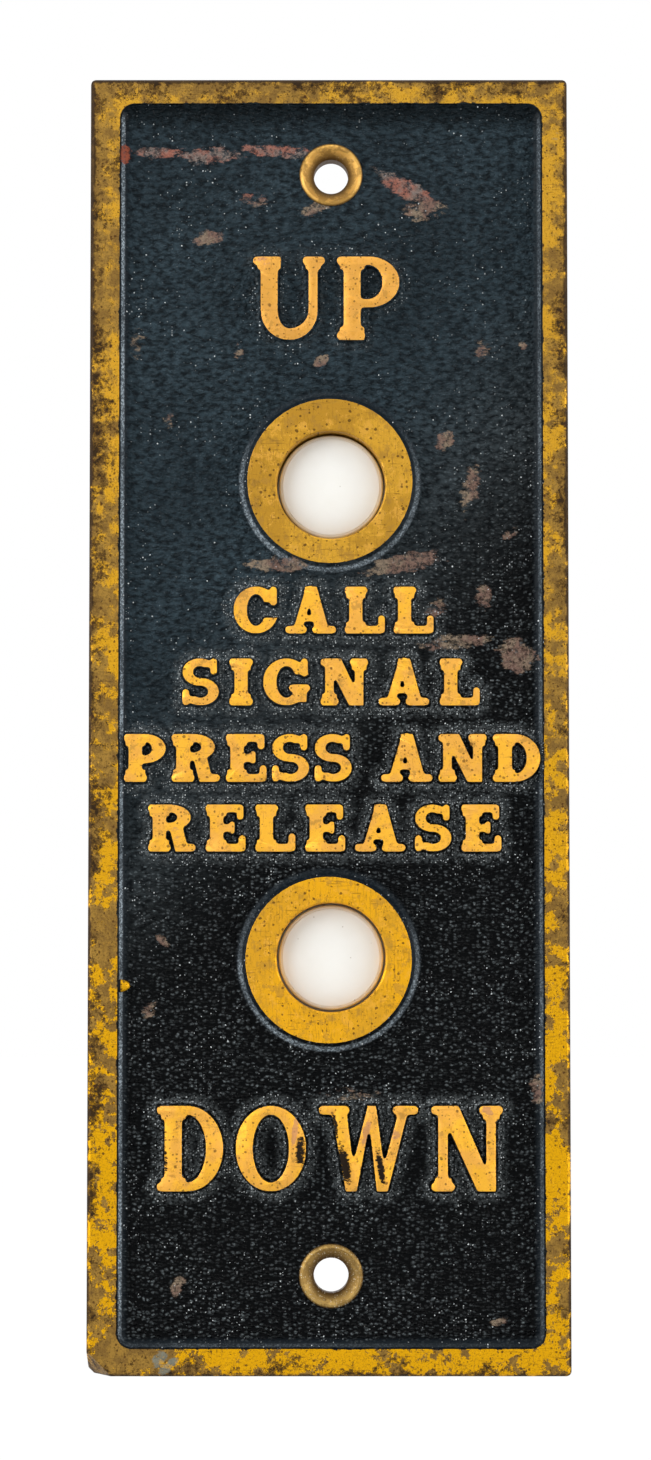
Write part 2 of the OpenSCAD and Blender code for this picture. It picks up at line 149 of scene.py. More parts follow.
def join(pieces, name):
    deselect()
    for piece in pieces:
        piece.select_set(True)
    bpy.context.view_layer.objects.active = pieces[0]
    bpy.ops.object.join()
    return named(pieces[0], name)


def smooth(piece, degrees):
    make_active(piece)
    bpy.ops.object.shade_smooth_by_angle(angle=math.radians(degrees))


def smooth_edges(piece):
    """Smooth shading over the broken edges, with the flat faces kept flat."""
    smooth(piece, 35)
    modify(piece, "WEIGHTED_NORMAL", keep_sharp=True)


def copy_of_node(node, name):
    """A mesh of its own from a node of the frame, with its triangles merged into whole faces."""
    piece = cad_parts[node].copy()
    piece.data = piece.data.copy()
    piece.parent = None
    named(piece, name)
    for key in list(piece.keys()):
        del piece[key]
    bpy.context.scene.collection.objects.link(piece)
    edit(piece)
    bpy.ops.mesh.remove_doubles(threshold=1e-6)
    bpy.ops.mesh.dissolve_limited(angle_limit=math.radians(1))
    object_mode()
    return piece


def paint(piece, *finishes):
    piece.data.materials.clear()
    for finish in finishes:
        piece.data.materials.append(finish)


def place(piece, body, slot, *nodes):
    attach(piece, body)
    if nodes:
        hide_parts(*nodes)


# Small tools for finishes

WHITE = (1, 1, 1, 1)


def rgb(red, green, blue):
    """A colour read on screen, from 0 to 255, as the linear colour that a shader takes."""
    def linear(value):
        share = value / 255
        return share / 12.92 if share <= 0.04045 else ((share + 0.055) / 1.055) ** 2.4
    return (linear(red), linear(green), linear(blue), 1)


def socket_label(key):
    return key.replace("_", " ").title()


class Nodes:
    """A tree of shader nodes in the making, and the place on the piece that its patterns read."""

    def __init__(self, tree, place=None):
        self.tree = tree
        self.place = place

    def feed(self, socket, value):
        """Links a socket to an output, or sets it to a value."""
        if isinstance(value, bpy.types.NodeSocket):
            self.tree.links.new(value, socket)
        else:
            socket.default_value = value

    def node(self, kind, inputs, **settings):
        """The outputs of a new shader node with these inputs and settings."""
        made = self.tree.nodes.new("ShaderNode" + kind)
        for key, value in settings.items():
            setattr(made, key, value)
        for key, value in inputs.items():
            self.feed(made.inputs[key], value)
        return made.outputs

    def use(self, group, **inputs):
        """The outputs of a shared effect, placed here with its own values."""
        made = self.tree.nodes.new("ShaderNodeGroup")
        made.node_tree = group
        self.feed(made.inputs["Vector"], self.place)
        for key, value in inputs.items():
            self.feed(made.inputs[socket_label(key)], value)
        return made.outputs

    def calc(self, operation, a, b=0.0, c=0.0):
        return self.node("Math", {0: a, 1: b, 2: c}, operation=operation)[0]

    def times(self, a, b):
        return self.calc("MULTIPLY", a, b)

    def minus(self, a, b):
        return self.calc("SUBTRACT", a, b)

    def larger(self, a, b):
        return self.calc("MAXIMUM", a, b)

    def weigh(self, *terms):
        """Sum of values, each times its weight."""
        total = 0.0
        for value, weight in terms:
            total = self.calc("MULTIPLY_ADD", value, weight, total)
        return total

    def band(self, value, low, high, start=0.0, end=1.0):
        """Eases from start at low to end at high."""
        inputs = {"Value": value, "From Min": low, "From Max": high, "To Min": start, "To Max": end}
        return self.node("MapRange", inputs, interpolation_type="SMOOTHSTEP")[0]

    def thinned(self, mask, *bands):
        """A mask that bands of other values thin out."""
        for band in bands:
            mask = self.times(mask, self.band(*band))
        return mask

    def between(self, share, a, b):
        return self.node("Mix", {0: share, 2: a, 3: b})[0]

    def mix(self, share, a, b):
        return self.node("Mix", {0: share, 6: a, 7: b}, data_type="RGBA")[2]

    def layers(self, colour, *coats):
        """Lays tones over a colour, each by its own mask."""
        for mask, tone in coats:
            colour = self.mix(mask, colour, tone)
        return colour

    def parts(self, at=None):
        """The X, Y and Z of a place."""
        return self.node("SeparateXYZ", {0: self.place if at is None else at})

    def stretched(self, x, y, z, at=None):
        return self.node("Mapping", {"Vector": self.place if at is None else at, "Scale": (x, y, z)})[0]

    def length(self, vector):
        return self.node("VectorMath", {0: vector}, operation="LENGTH")["Value"]

    def from_axis(self, centre):
        """The way from a point on an axis along Y, and the distance from that axis."""
        away = self.node("VectorMath", {0: self.place, 1: centre}, operation="SUBTRACT")[0]
        flat = self.node("VectorMath", {0: away, 1: (1, 0, 1)}, operation="MULTIPLY")[0]
        return away, self.length(flat)

    def axis_distance(self, x, z):
        return self.from_axis((x, 0, z))[1]

    def noise(self, scale, detail=3.0, roughness=0.55, distortion=0.0, at=None):
        inputs = {"Vector": self.place if at is None else at, "Scale": scale, "Detail": detail,
                  "Roughness": roughness, "Distortion": distortion}
        return self.node("TexNoise", inputs)["Fac"]

    def cells(self, scale):
        """Distance from the middles of scattered cells."""
        return self.node("TexVoronoi", {"Vector": self.place, "Scale": scale})["Distance"]

    def plate_cells(self, scale, at=None):
        """Cells that lie on the plate: the distance from their middles, and three values of their own."""
        parts = self.parts(at)
        flat = self.node("CombineXYZ", {0: parts["X"], 1: parts["Z"]})[0]
        cell = self.node("TexVoronoi", {"Vector": flat, "Scale": scale}, voronoi_dimensions="2D")
        return cell["Distance"], self.node("SeparateColor", {0: cell["Color"]})

    def attribute(self, name):
        return self.node("Attribute", {}, attribute_name=name)["Fac"]

    def bump(self, height, distance):
        return self.node("Bump", {"Height": height, "Distance": distance})["Normal"]

    def seen(self):
        """One for what the camera sees, straight, mirrored or through glass."""
        path = self.node("LightPath", {})
        mirrored = self.larger(path["Is Camera Ray"], path["Is Glossy Ray"])
        return self.larger(mirrored, path["Is Transmission Ray"])


class Effect(Nodes):
    """An effect that finishes share: a node group with a place and named values in, and masks out."""

    def __init__(self, name, outputs, **inputs):
        tree = bpy.data.node_groups.new(name, "ShaderNodeTree")
        tree.interface.new_socket("Vector", in_out="INPUT", socket_type="NodeSocketVector")
        for key, value in inputs.items():
            kind = "NodeSocketFloat" if isinstance(value, float) else "NodeSocketVector"
            made = tree.interface.new_socket(socket_label(key), in_out="INPUT", socket_type=kind)
            made.default_value = value
        for label in outputs:
            tree.interface.new_socket(label, in_out="OUTPUT", socket_type="NodeSocketFloat")
        self.given = tree.nodes.new("NodeGroupInput").outputs
        self.out = tree.nodes.new("NodeGroupOutput").inputs
        super().__init__(tree, self.given["Vector"])

    def done(self, **values):
        """Links the outputs, and gives the group."""
        for label, value in values.items():
            self.feed(self.out[label], value)
        return self.tree


class Finish(Nodes):
    """A material whose patterns read Object coordinates."""

    def __init__(self, name):
        self.material = bpy.data.materials.new(name)
        self.material.use_nodes = True
        tree = self.material.node_tree
        self.shader = tree.nodes["Principled BSDF"]
        super().__init__(tree, tree.nodes.new("ShaderNodeTexCoord").outputs["Object"])

    def done(self, **values):
        """Links or sets the shader's inputs, and gives the material."""
        for key, value in values.items():
            self.feed(self.shader.inputs[key.replace("_", " ")], value)
        return self.material


# Effects that several finishes share. Their scales count the grains in a metre

def tarnish_group():
    """Blotches, small specks and fine scratches of old brass."""
    effect = Effect("tarnish", ["Blotch", "Speck", "Scratch"], blotch_scale=120.0, speck_scale=900.0)
    blotch_scale, speck_scale = effect.given["Blotch Scale"], effect.given["Speck Scale"]
    broad = effect.noise(blotch_scale, 5, 0.62, 0.4)
    fine = effect.noise(effect.times(blotch_scale, 4.5), 3, 0.6)
    blotch = effect.weigh((broad, 0.7), (fine, 0.3))
    grains = effect.noise(speck_scale, 4, 0.7)
    gathered = effect.noise(effect.times(speck_scale, 0.2), 2)
    specks = effect.weigh((grains, 1.0), (gathered, 0.5), (1.0, -0.25))
    along = effect.noise(1.0, 2, 0.5, 0.6, effect.stretched(260, 260, 5200))
    across = effect.noise(1.0, 2, 0.5, 0.6, effect.stretched(3800, 260, 330))
    scratch = effect.larger(effect.band(along, 0.66, 0.72), effect.band(across, 0.66, 0.72))
    return effect.done(Blotch=effect.band(blotch, 0.38, 0.62), Speck=effect.band(specks, 0.6, 0.7),
                       Scratch=scratch)


def pebble_group():
    """Skin of a stoved enamel: pebbles with painted highlights on few of their tops, or a soft leather with
    painted highlights on most of them.
    """
    effect = Effect("pebble", ["Height", "Top"], pebble_scale=1000.0, leather=0.0)
    scale = effect.given["Pebble Scale"]
    warp = effect.node("TexNoise", {"Vector": effect.place, "Scale": 900.0, "Detail": 2.0})["Color"]
    shift = effect.node("VectorMath", {0: warp, 1: (0.7 * MM,) * 3}, operation="MULTIPLY")[0]
    moved = effect.node("VectorMath", {0: effect.place, 1: shift}, operation="ADD")[0]
    distance, own = effect.plate_cells(scale, effect.stretched(0.8, 1.0, 1.15, moved))
    dome = effect.band(distance, 0.05, 0.55, 1.0, 0.0)
    creased = effect.stretched(0.6, 0.2, 1.2, moved)
    wrinkles = effect.noise(effect.times(scale, 0.8), 2, 0.5, at=creased)
    leather = effect.weigh((effect.band(wrinkles, 0.3, 0.72), 0.6), (effect.times(dome, own[0]), 0.3))
    fine = effect.noise(effect.times(scale, 1.6), 2, 0.6)
    pebble = effect.times(effect.calc("POWER", own[0], 2.6), effect.band(fine, 0.35, 0.6, 0.2, 1.0))
    top = effect.between(effect.given["Leather"], effect.times(pebble, dome), leather)
    return effect.done(Height=dome, Top=top)


def dust_group():
    """Pale grains of dust and old polish, which on the enamel also stand for painted glints: in each cell
    one grain, if as many are asked for.
    """
    effect = Effect("dust", ["Mask"], grain_scale=1500.0, amount=0.1)
    scale = effect.given["Grain Scale"]
    distance, own = effect.plate_cells(scale)
    least = effect.minus(1.0, effect.given["Amount"])
    present = effect.band(own[0], least, effect.calc("ADD", least, 0.05))
    radius = effect.band(own[1], 0.0, 1.0, 0.14, 0.4)
    ragged = effect.noise(effect.times(scale, 2.0), 2)
    reach = effect.weigh((distance, 1.0), (ragged, 0.5), (1.0, -0.25))
    grain = effect.band(reach, effect.times(radius, 0.5), radius, 1.0, 0.0)
    strength = effect.band(effect.calc("POWER", own[2], 2.0), 0.0, 1.0, 0.25, 1.0)
    return effect.done(Mask=effect.times(effect.times(grain, strength), present))


def spots_group():
    """Small round spots, in this share of the cells, up to this size in a cell."""
    effect = Effect("spots", ["Mask"], spot_scale=1000.0, share=0.15, size=0.3)
    scale, size = effect.given["Spot Scale"], effect.given["Size"]
    distance, own = effect.plate_cells(scale)
    ragged = effect.noise(effect.times(scale, 3.0), 2)
    reach = effect.weigh((distance, 1.0), (ragged, 0.4), (1.0, -0.2))
    radius = effect.band(own[1], 0.0, 1.0, effect.times(size, 0.3), size)
    spot = effect.band(reach, effect.times(radius, 0.7), radius, 1.0, 0.0)
    return effect.done(Mask=effect.times(spot, effect.calc("LESS_THAN", own[0], effect.given["Share"])))


def turning_group():
    """Fine rings that a lathe leaves about an axis along Y."""
    effect = Effect("turning", ["Height"], centre=(0, 0, 0), ring_scale=5000.0)
    away, radius = effect.from_axis(effect.given["Centre"])
    along = effect.calc("ADD", radius, effect.parts(away)["Y"])
    line = effect.node("CombineXYZ", {0: effect.times(along, effect.given["Ring Scale"])})[0]
    return effect.done(Height=effect.noise(1.0, 2, at=line))


UNWORN = -0.25


def patches_group(name, patches, grain):
    """Ragged patches, each with its place across and up the plate, its half width and half height in mm,
    its slope, and how much of it is gone."""
    effect = Effect(name, ["Mask"])
    parts = effect.parts()
    worn = UNWORN
    for x, z, half_w, half_h, slope, cover in patches:
        across = effect.minus(parts["X"], x * MM)
        up = effect.minus(effect.minus(parts["Z"], z * MM), effect.times(across, slope))
        across = effect.calc("DIVIDE", across, half_w * MM)
        up = effect.calc("DIVIDE", up, half_h * MM)
        reach = effect.calc("SQRT", effect.calc("MULTIPLY_ADD", across, across, effect.times(up, up)))
        worn = effect.larger(worn, effect.band(reach, 0.2, 1.15, cover, UNWORN))
    broken = effect.noise(grain, 6, 0.72, at=effect.stretched(0.6, 1, 1.3))
    edge = effect.weigh((worn, 1.0), (broken, 2.6), (1.0, -1.3))
    return effect.done(Mask=effect.band(edge, 0.3, 0.55))


# Where the enamel is rubbed through
WORN_PATCHES = (
    (-33.5, 92, 1.7, 2.6, 0, 0.8), (-28, 92.6, 8.5, 1.5, 0, 0.68), (-19.5, 92, 7, 2.8, 0.1, 0.62),
    (-9, 92.8, 8.8, 1.5, -0.08, 0.75), (12.5, 86.4, 8.5, 2.6, -0.5, 0.8), (14.5, 83, 4.2, 2.8, 0, 0.6),
    (-2.2, 83.6, 3.6, 1.6, 0.25, 0.9), (-19.8, 78.6, 3.4, 1.9, 0.15, 0.9),
    (-12.4, 84.8, 3.4, 2.4, -0.1, 0.5), (-1.6, 58.4, 1.9, 1.4, 0.35, 0.9), (-8.6, 25.2, 8, 1.7, -0.02, 0.9),
    (11.6, 25.4, 8.8, 2.4, 0.18, 0.9), (20.5, 12.8, 9, 1.9, 0.1, 0.7), (30, 10.4, 4.6, 4, -0.2, 0.95),
    (-31.2, 61, 2.2, 5, 0, 0.35), (18.4, 45.4, 2.2, 2.4, 0.4, 0.8), (22.6, 38, 2.6, 6.4, 1, 0.55),
    (24.6, 20, 2.4, 3.2, 0, 0.65), (33, -59, 1.8, 4.2, 0, 0.6), (-24.5, -90.5, 2, 2.4, 0.5, 0.7),
    (-29, -46.5, 2.2, 2, 0.4, 0.5), (26.8, -96.2, 2, 1, 0.2, 0.8), (17, 18.4, 3, 2.6, 0.3, 0.5),
    (4, -60, 9, 2.2, 0, 0.3), (24.5, 60, 2.4, 3.4, 0, 0.4), (-27, -35.5, 1.8, 1.3, -0.5, 0.6),
    (31, 61, 1.2, 1.2, 0, 0.7), (-15, 60, 1.4, 3.4, 0, 0.35), (-26, 49, 2, 2.2, 0.3, 0.4),
    (29, 30.4, 2, 1.4, 0.4, 0.5),
)
# Pits and rosy stains in the faces of the letters, and grey smears on the border
LETTER_PITS = (
    (-4.9, -69, 1.2, 3.6, 0.4, 0.8), (0.6, -64.8, 0.9, 2.4, -2.4, 0.65), (2.2, -71.2, 1.4, 3.8, -2, 0.95),
    (7.9, -71.6, 1.1, 3.4, -2.6, 0.75), (-26.4, -70.6, 0.5, 3.4, 0, 0.55), (9, -69, 2.4, 2.4, 0, 0.2),
    (22.6, 3.4, 1.6, 2.4, 0, 0.1), (24.2, -18.4, 1.6, 3.6, 0, 0.25),
)
LETTER_STAINS = (
    (-5.8, -65.6, 0.9, 3.2, 3, 0.9), (5.6, -66, 1.2, 2.6, 2, 0.8), (10.4, -66.4, 1.2, 1.4, 0, 0.6),
    (25, -62.6, 1.6, 1.2, -0.5, 0.7), (7.6, 71.4, 3.4, 2.6, 0, 0.3), (-11, 74.6, 2.4, 1.2, 0, 0.5),
    (-8, 18, 5, 3.6, 0, 0.2), (20, -6, 7, 3.5, 0, 0.15), (-14, 6, 6, 3.5, 0, 0.2),
    (-24, -18, 4, 3.5, 0, 0.25),
)
BORDER_SMEARS = (
    (-27.2, -101.6, 2, 2.2, 0.6, 0.7), (-26, -103.2, 2.6, 1.4, 0.8, 0.7), (36.2, 96, 1.6, 5, 0, 0.1),
)

TARNISH = tarnish_group()
PEBBLE = pebble_group()
DUST_AND_GLINTS = dust_group()
SPOTS = spots_group()
TURNING = turning_group()
WORN_ENAMEL = patches_group("worn_enamel", WORN_PATCHES, 640.0)
SMEARED = patches_group("smeared", BORDER_SMEARS, 500.0)
PITTED = patches_group("pitted", LETTER_PITS, 2100.0)
STAINED = patches_group("stained", LETTER_STAINS, 1100.0)


# Finishes

def outline_distance(look, centre, half_w, half_h, corner):
    """Distance outside a rectangle with round corners that faces the viewer: negative inside it."""
    parts = look.parts()
    dx = look.minus(look.calc("ABSOLUTE", look.minus(parts["X"], centre[0])), half_w - corner)
    dz = look.minus(look.calc("ABSOLUTE", look.minus(parts["Z"], centre[1])), half_h - corner)
    outside = look.node("CombineXYZ", {0: look.larger(dx, 0.0), 2: look.larger(dz, 0.0)})[0]
    within = look.calc("MINIMUM", look.larger(dx, dz), 0.0)
    return look.minus(look.calc("ADD", look.length(outside), within), corner)


def plate_rim(look):
    """Distance from the outline of the plate: negative inside it."""
    centre = ((PLATE_LOW.x + PLATE_HIGH.x) / 2, (PLATE_LOW.z + PLATE_HIGH.z) / 2)
    half_w = (PLATE_HIGH.x - PLATE_LOW.x) / 2
    half_h = (PLATE_HIGH.z - PLATE_LOW.z) / 2
    return outline_distance(look, centre, half_w, half_h, PLATE_CORNER_R)


def field_wall(look):
    """Distance from the wall of the field: negative on the field."""
    return outline_distance(look, (0, 0), FIELD_W / 2, FIELD_H / 2, FIELD_CORNER_R)


def spot_coats(look, tone, *kinds):
    """Coats of spots, each kind with its scale, its share of the cells and its size in a cell."""
    coats = []
    for scale, share, size in kinds:
        mask = look.use(SPOTS, spot_scale=scale, share=share, size=size)["Mask"]
        coats.append((look.times(mask, 0.75), tone))
    return coats


# Bright and dull tones of the upper and the lower ring
RING_TONES = ((rgb(196, 148, 46), rgb(172, 128, 40)), (rgb(224, 163, 24), rgb(204, 150, 34)))


def ring_faces(look, colour, broad, ragged, flecks):
    """Ground faces of the rings: brushed across, with dull and rosy smudges."""
    patches = look.band(look.weigh((broad, 0.6), (ragged, 0.4)), 0.44, 0.56)
    brushed = look.noise(1.0, 4, 0.7, at=look.stretched(2600, 300, 500))
    smudges = (
        (look.band(brushed, 0.5, 0.66, 0.0, 0.4), rgb(132, 95, 34)),
        (look.band(ragged, 0.54, 0.6, 0.0, 0.4), rgb(148, 112, 54)),
        (look.band(ragged, 0.4, 0.45, 0.25, 0.0), rgb(230, 172, 84)),
        (look.band(flecks, 0.64, 0.67, 0.0, 0.8), rgb(80, 56, 26)),
    )
    for (x, z), (bright, dull) in zip(RING_CENTRES, RING_TONES):
        on_ring = look.band(look.axis_distance(x, z), RING_R + 0.25 * MM, RING_R + 1.05 * MM, 1.0, 0.0)
        colour = look.mix(on_ring, colour, look.layers(bright, (patches, dull), *smudges))
    return colour


def screw_seats(look, colour, ragged):
    """Countersinks of the wall screw holes: painted shade inside towards the hole, a painted highlight below
    the rim and painted shade at its foot, chalky in the lower one.
    """
    grains = look.use(DUST_AND_GLINTS, grain_scale=3000.0, amount=0.5)["Mask"]
    smudged = look.band(ragged, 0.46, 0.54, 0.0, 0.5)
    # Painted shade towards the hole, a painted highlight on the worn bare brass below the rim, painted shade
    # at the foot of the rim.
    for z, worn, chalky in ((SCREW_Z, rgb(206, 160, 82), 0.15), (-SCREW_Z, rgb(176, 144, 82), 0.8)):
        away = look.axis_distance(0, z)
        seat = look.layers(
            rgb(84, 60, 30),
            (look.band(away, SCREW_HOLE_R, SCREW_RIM_R - MM), worn),
            (look.band(away, SCREW_RIM_R - 0.5 * MM, SCREW_RIM_R - 0.05 * MM), rgb(92, 68, 34)),
            (smudged, rgb(104, 77, 38)),
            (look.times(grains, chalky), rgb(206, 200, 180)))
        on_seat = look.band(away, SCREW_RIM_R + 0.3 * MM, SCREW_RIM_R + 0.5 * MM, 1.0, 0.0)
        colour = look.mix(on_seat, colour, seat)
    return colour


def border_brass(name):
    """Ground border and rings: bright metal in ragged patches on dull, with specks and brown crust, and a
    band of painted shade along the outer edge.
    """
    look = Finish(name)
    scratch = look.use(TARNISH)["Scratch"]
    parts = look.parts()
    upper = look.band(parts["Z"], -70 * MM, 90 * MM)
    right = look.band(parts["X"], 0.0, 30 * MM)
    upper_right = look.times(look.band(parts["Z"], 20 * MM, 90 * MM), right)
    corner = look.axis_distance(PLATE_LOW.x, PLATE_LOW.z)
    rim = plate_rim(look)
    by_edge = look.band(rim, -4 * MM, 0.4 * MM)
    broad = look.noise(95.0, 3, 0.55)
    ragged = look.noise(430.0, 9, 0.7)
    fine = look.noise(3000.0, 3, 0.7)

    age = look.weigh((broad, 0.4), (ragged, 0.6), (upper, 0.045), (by_edge, 0.02), (upper_right, -0.06),
                     (look.band(corner, 6 * MM, 24 * MM, 1.0, 0.0), 0.07))
    torn_edge = look.band(age, 0.507, 0.515)
    faded = look.band(look.weigh((age, 1.0), (by_edge, 0.05)), 0.47, 0.58)
    dulled = look.between(upper, torn_edge, faded)
    bright = look.layers(
        rgb(214, 158, 8), (upper, rgb(196, 148, 44)),
        (look.band(fine, 0.5, 0.62, 0.0, 0.6), rgb(164, 116, 16)))
    dull = look.layers(
        rgb(150, 116, 52), (look.band(look.noise(380.0, 6, 0.75), 0.42, 0.58), rgb(122, 93, 45)),
        (look.band(fine, 0.5, 0.62, 0.0, 0.5), rgb(84, 60, 26)))
    crust = look.weigh((look.noise(150.0, 4, 0.6), 0.45), (look.noise(800.0, 8, 0.8), 0.55), (upper, 0.01),
                       (by_edge, 0.07), (right, -0.03))
    crusted = look.band(crust, 0.565, 0.575)
    torn = look.band(look.calc("ABSOLUTE", look.minus(age, 0.511)), 0.0, 0.03, 1.0, 0.0)
    flecks = look.weigh((look.noise(1900.0, 4, 0.75), 1.0), (torn, 0.06))
    colour = look.layers(
        look.mix(dulled, bright, dull),
        (look.times(crusted, 0.8), rgb(82, 57, 20)),
        (look.band(crust, 0.605, 0.615, 0.0, 0.9), rgb(34, 23, 12)),
        (look.band(flecks, 0.61, 0.635, 0.0, 0.85), rgb(54, 37, 19)))
    colour = ring_faces(look, colour, broad, ragged, flecks)
    pits = spot_coats(look, rgb(66, 38, 18), (700.0, 0.13, 0.2), (1400.0, 0.16, 0.34))
    colour = look.layers(colour, *pits, (look.times(scratch, 0.55), rgb(84, 59, 27)))
    colour = screw_seats(look, colour, ragged)

    smeared = look.times(look.use(SMEARED)["Mask"], look.band(ragged, 0.4, 0.6, 0.35, 0.85))
    edge = look.weigh((rim, 1.0), (ragged, 1.8 * MM), (broad, 1.2 * MM), (upper, 0.3 * MM))
    broken = look.band(look.weigh((corner, 1.0), (ragged, 3 * MM)), 2.8 * MM, 3.4 * MM, 0.9, 0.0)
    inner = field_wall(look)
    creep = look.minus(inner, look.band(ragged, 0.5, 0.75, 0.0, 0.4 * MM))
    by_field = look.calc("GREATER_THAN", inner, -0.5 * MM)
    painted = look.times(look.band(creep, 0.0, 0.1 * MM, 1.0, 0.0), by_field)
    colour = look.layers(
        colour, (smeared, rgb(116, 120, 110)),
        # Painted shade: a dark brown band along the outer edge of the plate, on its edge bevel.
        (look.band(edge, MM, 1.4 * MM, 0.0, 0.9), rgb(48, 34, 20)),
        (broken, look.mix(look.band(fine, 0.45, 0.6), rgb(40, 28, 18), rgb(120, 92, 56))),
        (painted, rgb(12, 15, 17)))
    covered = look.larger(look.larger(crusted, painted), broken)
    rough = look.weigh((dulled, 0.1), (covered, 0.1), (ragged, 0.2), (1.0, 0.3))
    relief = look.weigh((look.noise(1500.0, 3), 1.0), (scratch, -0.5), (crusted, 0.7), (dulled, 0.35),
                        (pits[-1][0], -0.6))
    return look.done(Base_Color=colour, Roughness=rough, Normal=look.bump(relief, 0.06 * MM),
                     Metallic=look.band(covered, 0.0, 1.0, 0.55, 0.1), Specular_IOR_Level=0.1)


def letter_brass(name):
    """Ground faces of the letters: warm brass with rosy clouds, small brown spots, stains and pits."""
    look = Finish(name)
    scratch = look.use(TARNISH)["Scratch"]
    clouds = look.noise(210.0, 5, 0.65)
    fine = look.noise(1500.0, 5, 0.75)
    blots = look.weigh((look.noise(520.0, 7, 0.75), 1.0), (clouds, 0.3))
    stained = look.use(STAINED)["Mask"]
    pitted = look.use(PITTED)["Mask"]
    colour = look.layers(
        rgb(234, 174, 54), (look.band(clouds, 0.42, 0.58), rgb(224, 164, 70)),
        (look.band(look.parts()["Z"], 30 * MM, 60 * MM, 0.0, 0.8), rgb(206, 150, 72)),
        (look.band(fine, 0.53, 0.6, 0.0, 0.6), rgb(200, 142, 52)),
        (look.band(blots, 0.74, 0.76, 0.0, 0.6), rgb(168, 124, 58)),
        *spot_coats(look, rgb(104, 72, 32), (800.0, 0.16, 0.24), (1700.0, 0.2, 0.34)),
        (look.times(scratch, 0.3), rgb(150, 106, 46)),
        (look.times(stained, 0.75), rgb(182, 130, 92)),
        (pitted, rgb(28, 18, 8)))
    relief = look.weigh((fine, 1.0), (pitted, -1.5), (scratch, -0.4))
    return look.done(Base_Color=colour, Roughness=look.band(fine, 0.3, 0.7, 0.38, 0.52),
                     Metallic=look.band(pitted, 0.0, 1.0, 0.55, 0.1), Normal=look.bump(relief, 0.06 * MM),
                     Specular_IOR_Level=0.1)


def cast_back(name):
    """Unworked back of the casting, as it came from the sand."""
    look = Finish(name)
    marks = look.use(TARNISH, blotch_scale=60.0, speck_scale=1100.0)
    fine = look.noise(1300.0, 6, 0.75)
    age = look.weigh((marks["Blotch"], 0.3), (fine, 1.0))
    colour = look.layers(
        rgb(168, 130, 66), (look.band(age, 0.45, 0.85), rgb(120, 91, 48)),
        (look.band(fine, 0.6, 0.66, 0.0, 0.6), rgb(78, 60, 36)),
        (look.times(marks["Speck"], 0.4), rgb(70, 55, 34)))
    grain = look.weigh((fine, 1.0), (look.cells(1100.0), 0.8))
    return look.done(Base_Color=colour, Roughness=look.band(fine, 0.3, 0.7, 0.5, 0.68), Metallic=0.6,
                     Normal=look.bump(grain, 0.2 * MM))


# Where the painted highlight lies in a cove: how far from the wall it starts, is full, begins to thin and
# ends
BORDER_STREAK = (0.1 * MM, 0.28 * MM, 0.55 * MM, 0.9 * MM)
RING_STREAK = (0.4 * MM, 0.75 * MM, 1.05 * MM, 1.5 * MM)


def streak(look, distance, reach):
    """Band along a line at this distance."""
    start, full, still, end = reach
    return look.thinned(look.band(distance, start, full), (distance, still, end, 1.0, 0.0))


def cove_highlights(look, parts):
    """Painted highlights along the coves: most at the left wall and low around the rings."""
    shown = look.thinned(
        streak(look, look.times(field_wall(look), -1.0), BORDER_STREAK),
        (parts["X"], -FIELD_W / 2, FIELD_W / 2, 1.0, 0.35),
        (parts["Z"], FIELD_H / 2 - 3 * MM, FIELD_H / 2 - MM, 1.0, 0.0),
        (parts["Z"], MM - FIELD_H / 2, 3 * MM - FIELD_H / 2, 0.2, 1.0))
    for x, z in RING_CENTRES:
        around = streak(look, look.minus(look.axis_distance(x, z), RING_R), RING_STREAK)
        low = (look.minus(parts["Z"], z), -0.4 * RING_R, 0.7 * RING_R, 0.75, 0.06)
        shown = look.larger(shown, look.thinned(around, low))
    broken = (look.noise(2600.0, 4, 0.75), 0.49, 0.57, 0.16, 0.68)
    patchy = (look.noise(130.0), 0.3, 0.6, 0.4, 1.0)
    return look.thinned(shown, broken, patchy)


def letter_dust(look, height):
    """Pale dust a little off the feet of the letters: a ragged line that thins away, least at the top."""
    gap = look.weigh((look.attribute("letter_gap"), 1.0), (look.noise(900.0, 4, 0.7), 0.8), (1.0, -0.4))
    return look.thinned(look.band(gap, 0.2, 0.36), (gap, 0.5, 0.9, 1.0, 0.45), (gap, 1.0, 2.3, 1.0, 0.0),
                        (height, 20 * MM, 60 * MM, 1.0, 0.3))


def field_wear(look, colour, parts, near, cove, worn):
    """The enamel of the field: hazy by the letters, dark in the coves, with painted shade under the top
    border and painted highlights along the coves, and down to its primer where worn.
    """
    hazy = look.band(look.noise(2200.0, 4, 0.7), 0.4, 0.6, 0.0, 0.8)
    # Painted shade: the enamel darkens over the last millimetres below the top border.
    painted_shade_under_top_border = look.band(parts["Z"], FIELD_H / 2 - 5 * MM, FIELD_H / 2 - MM, 0.0, 0.75)
    primer = look.mix(look.band(look.noise(260.0, 4, 0.7), 0.4, 0.6), rgb(118, 94, 84), rgb(138, 122, 104))
    red_lead = look.layers(
        rgb(150, 98, 84), (look.band(look.noise(240.0, 4, 0.7), 0.38, 0.58), rgb(124, 112, 106)),
        (look.band(parts["X"], -32.5 * MM, -31.5 * MM, 1.0, 0.0), rgb(146, 78, 58)))
    thin = look.band(look.noise(1300.0, 5, 0.75), 0.38, 0.54, 0.15, 0.95)
    return look.layers(
        colour, (look.times(near, hazy), rgb(104, 110, 112)),
        (look.times(cove, 0.85), rgb(14, 22, 28)),
        (painted_shade_under_top_border, rgb(6, 10, 12)),
        # Painted highlights along the coves.
        (cove_highlights(look, parts), rgb(192, 207, 218)),
        (look.times(worn, thin), look.mix(look.band(parts["Z"], 84 * MM, 86 * MM), primer, red_lead)))


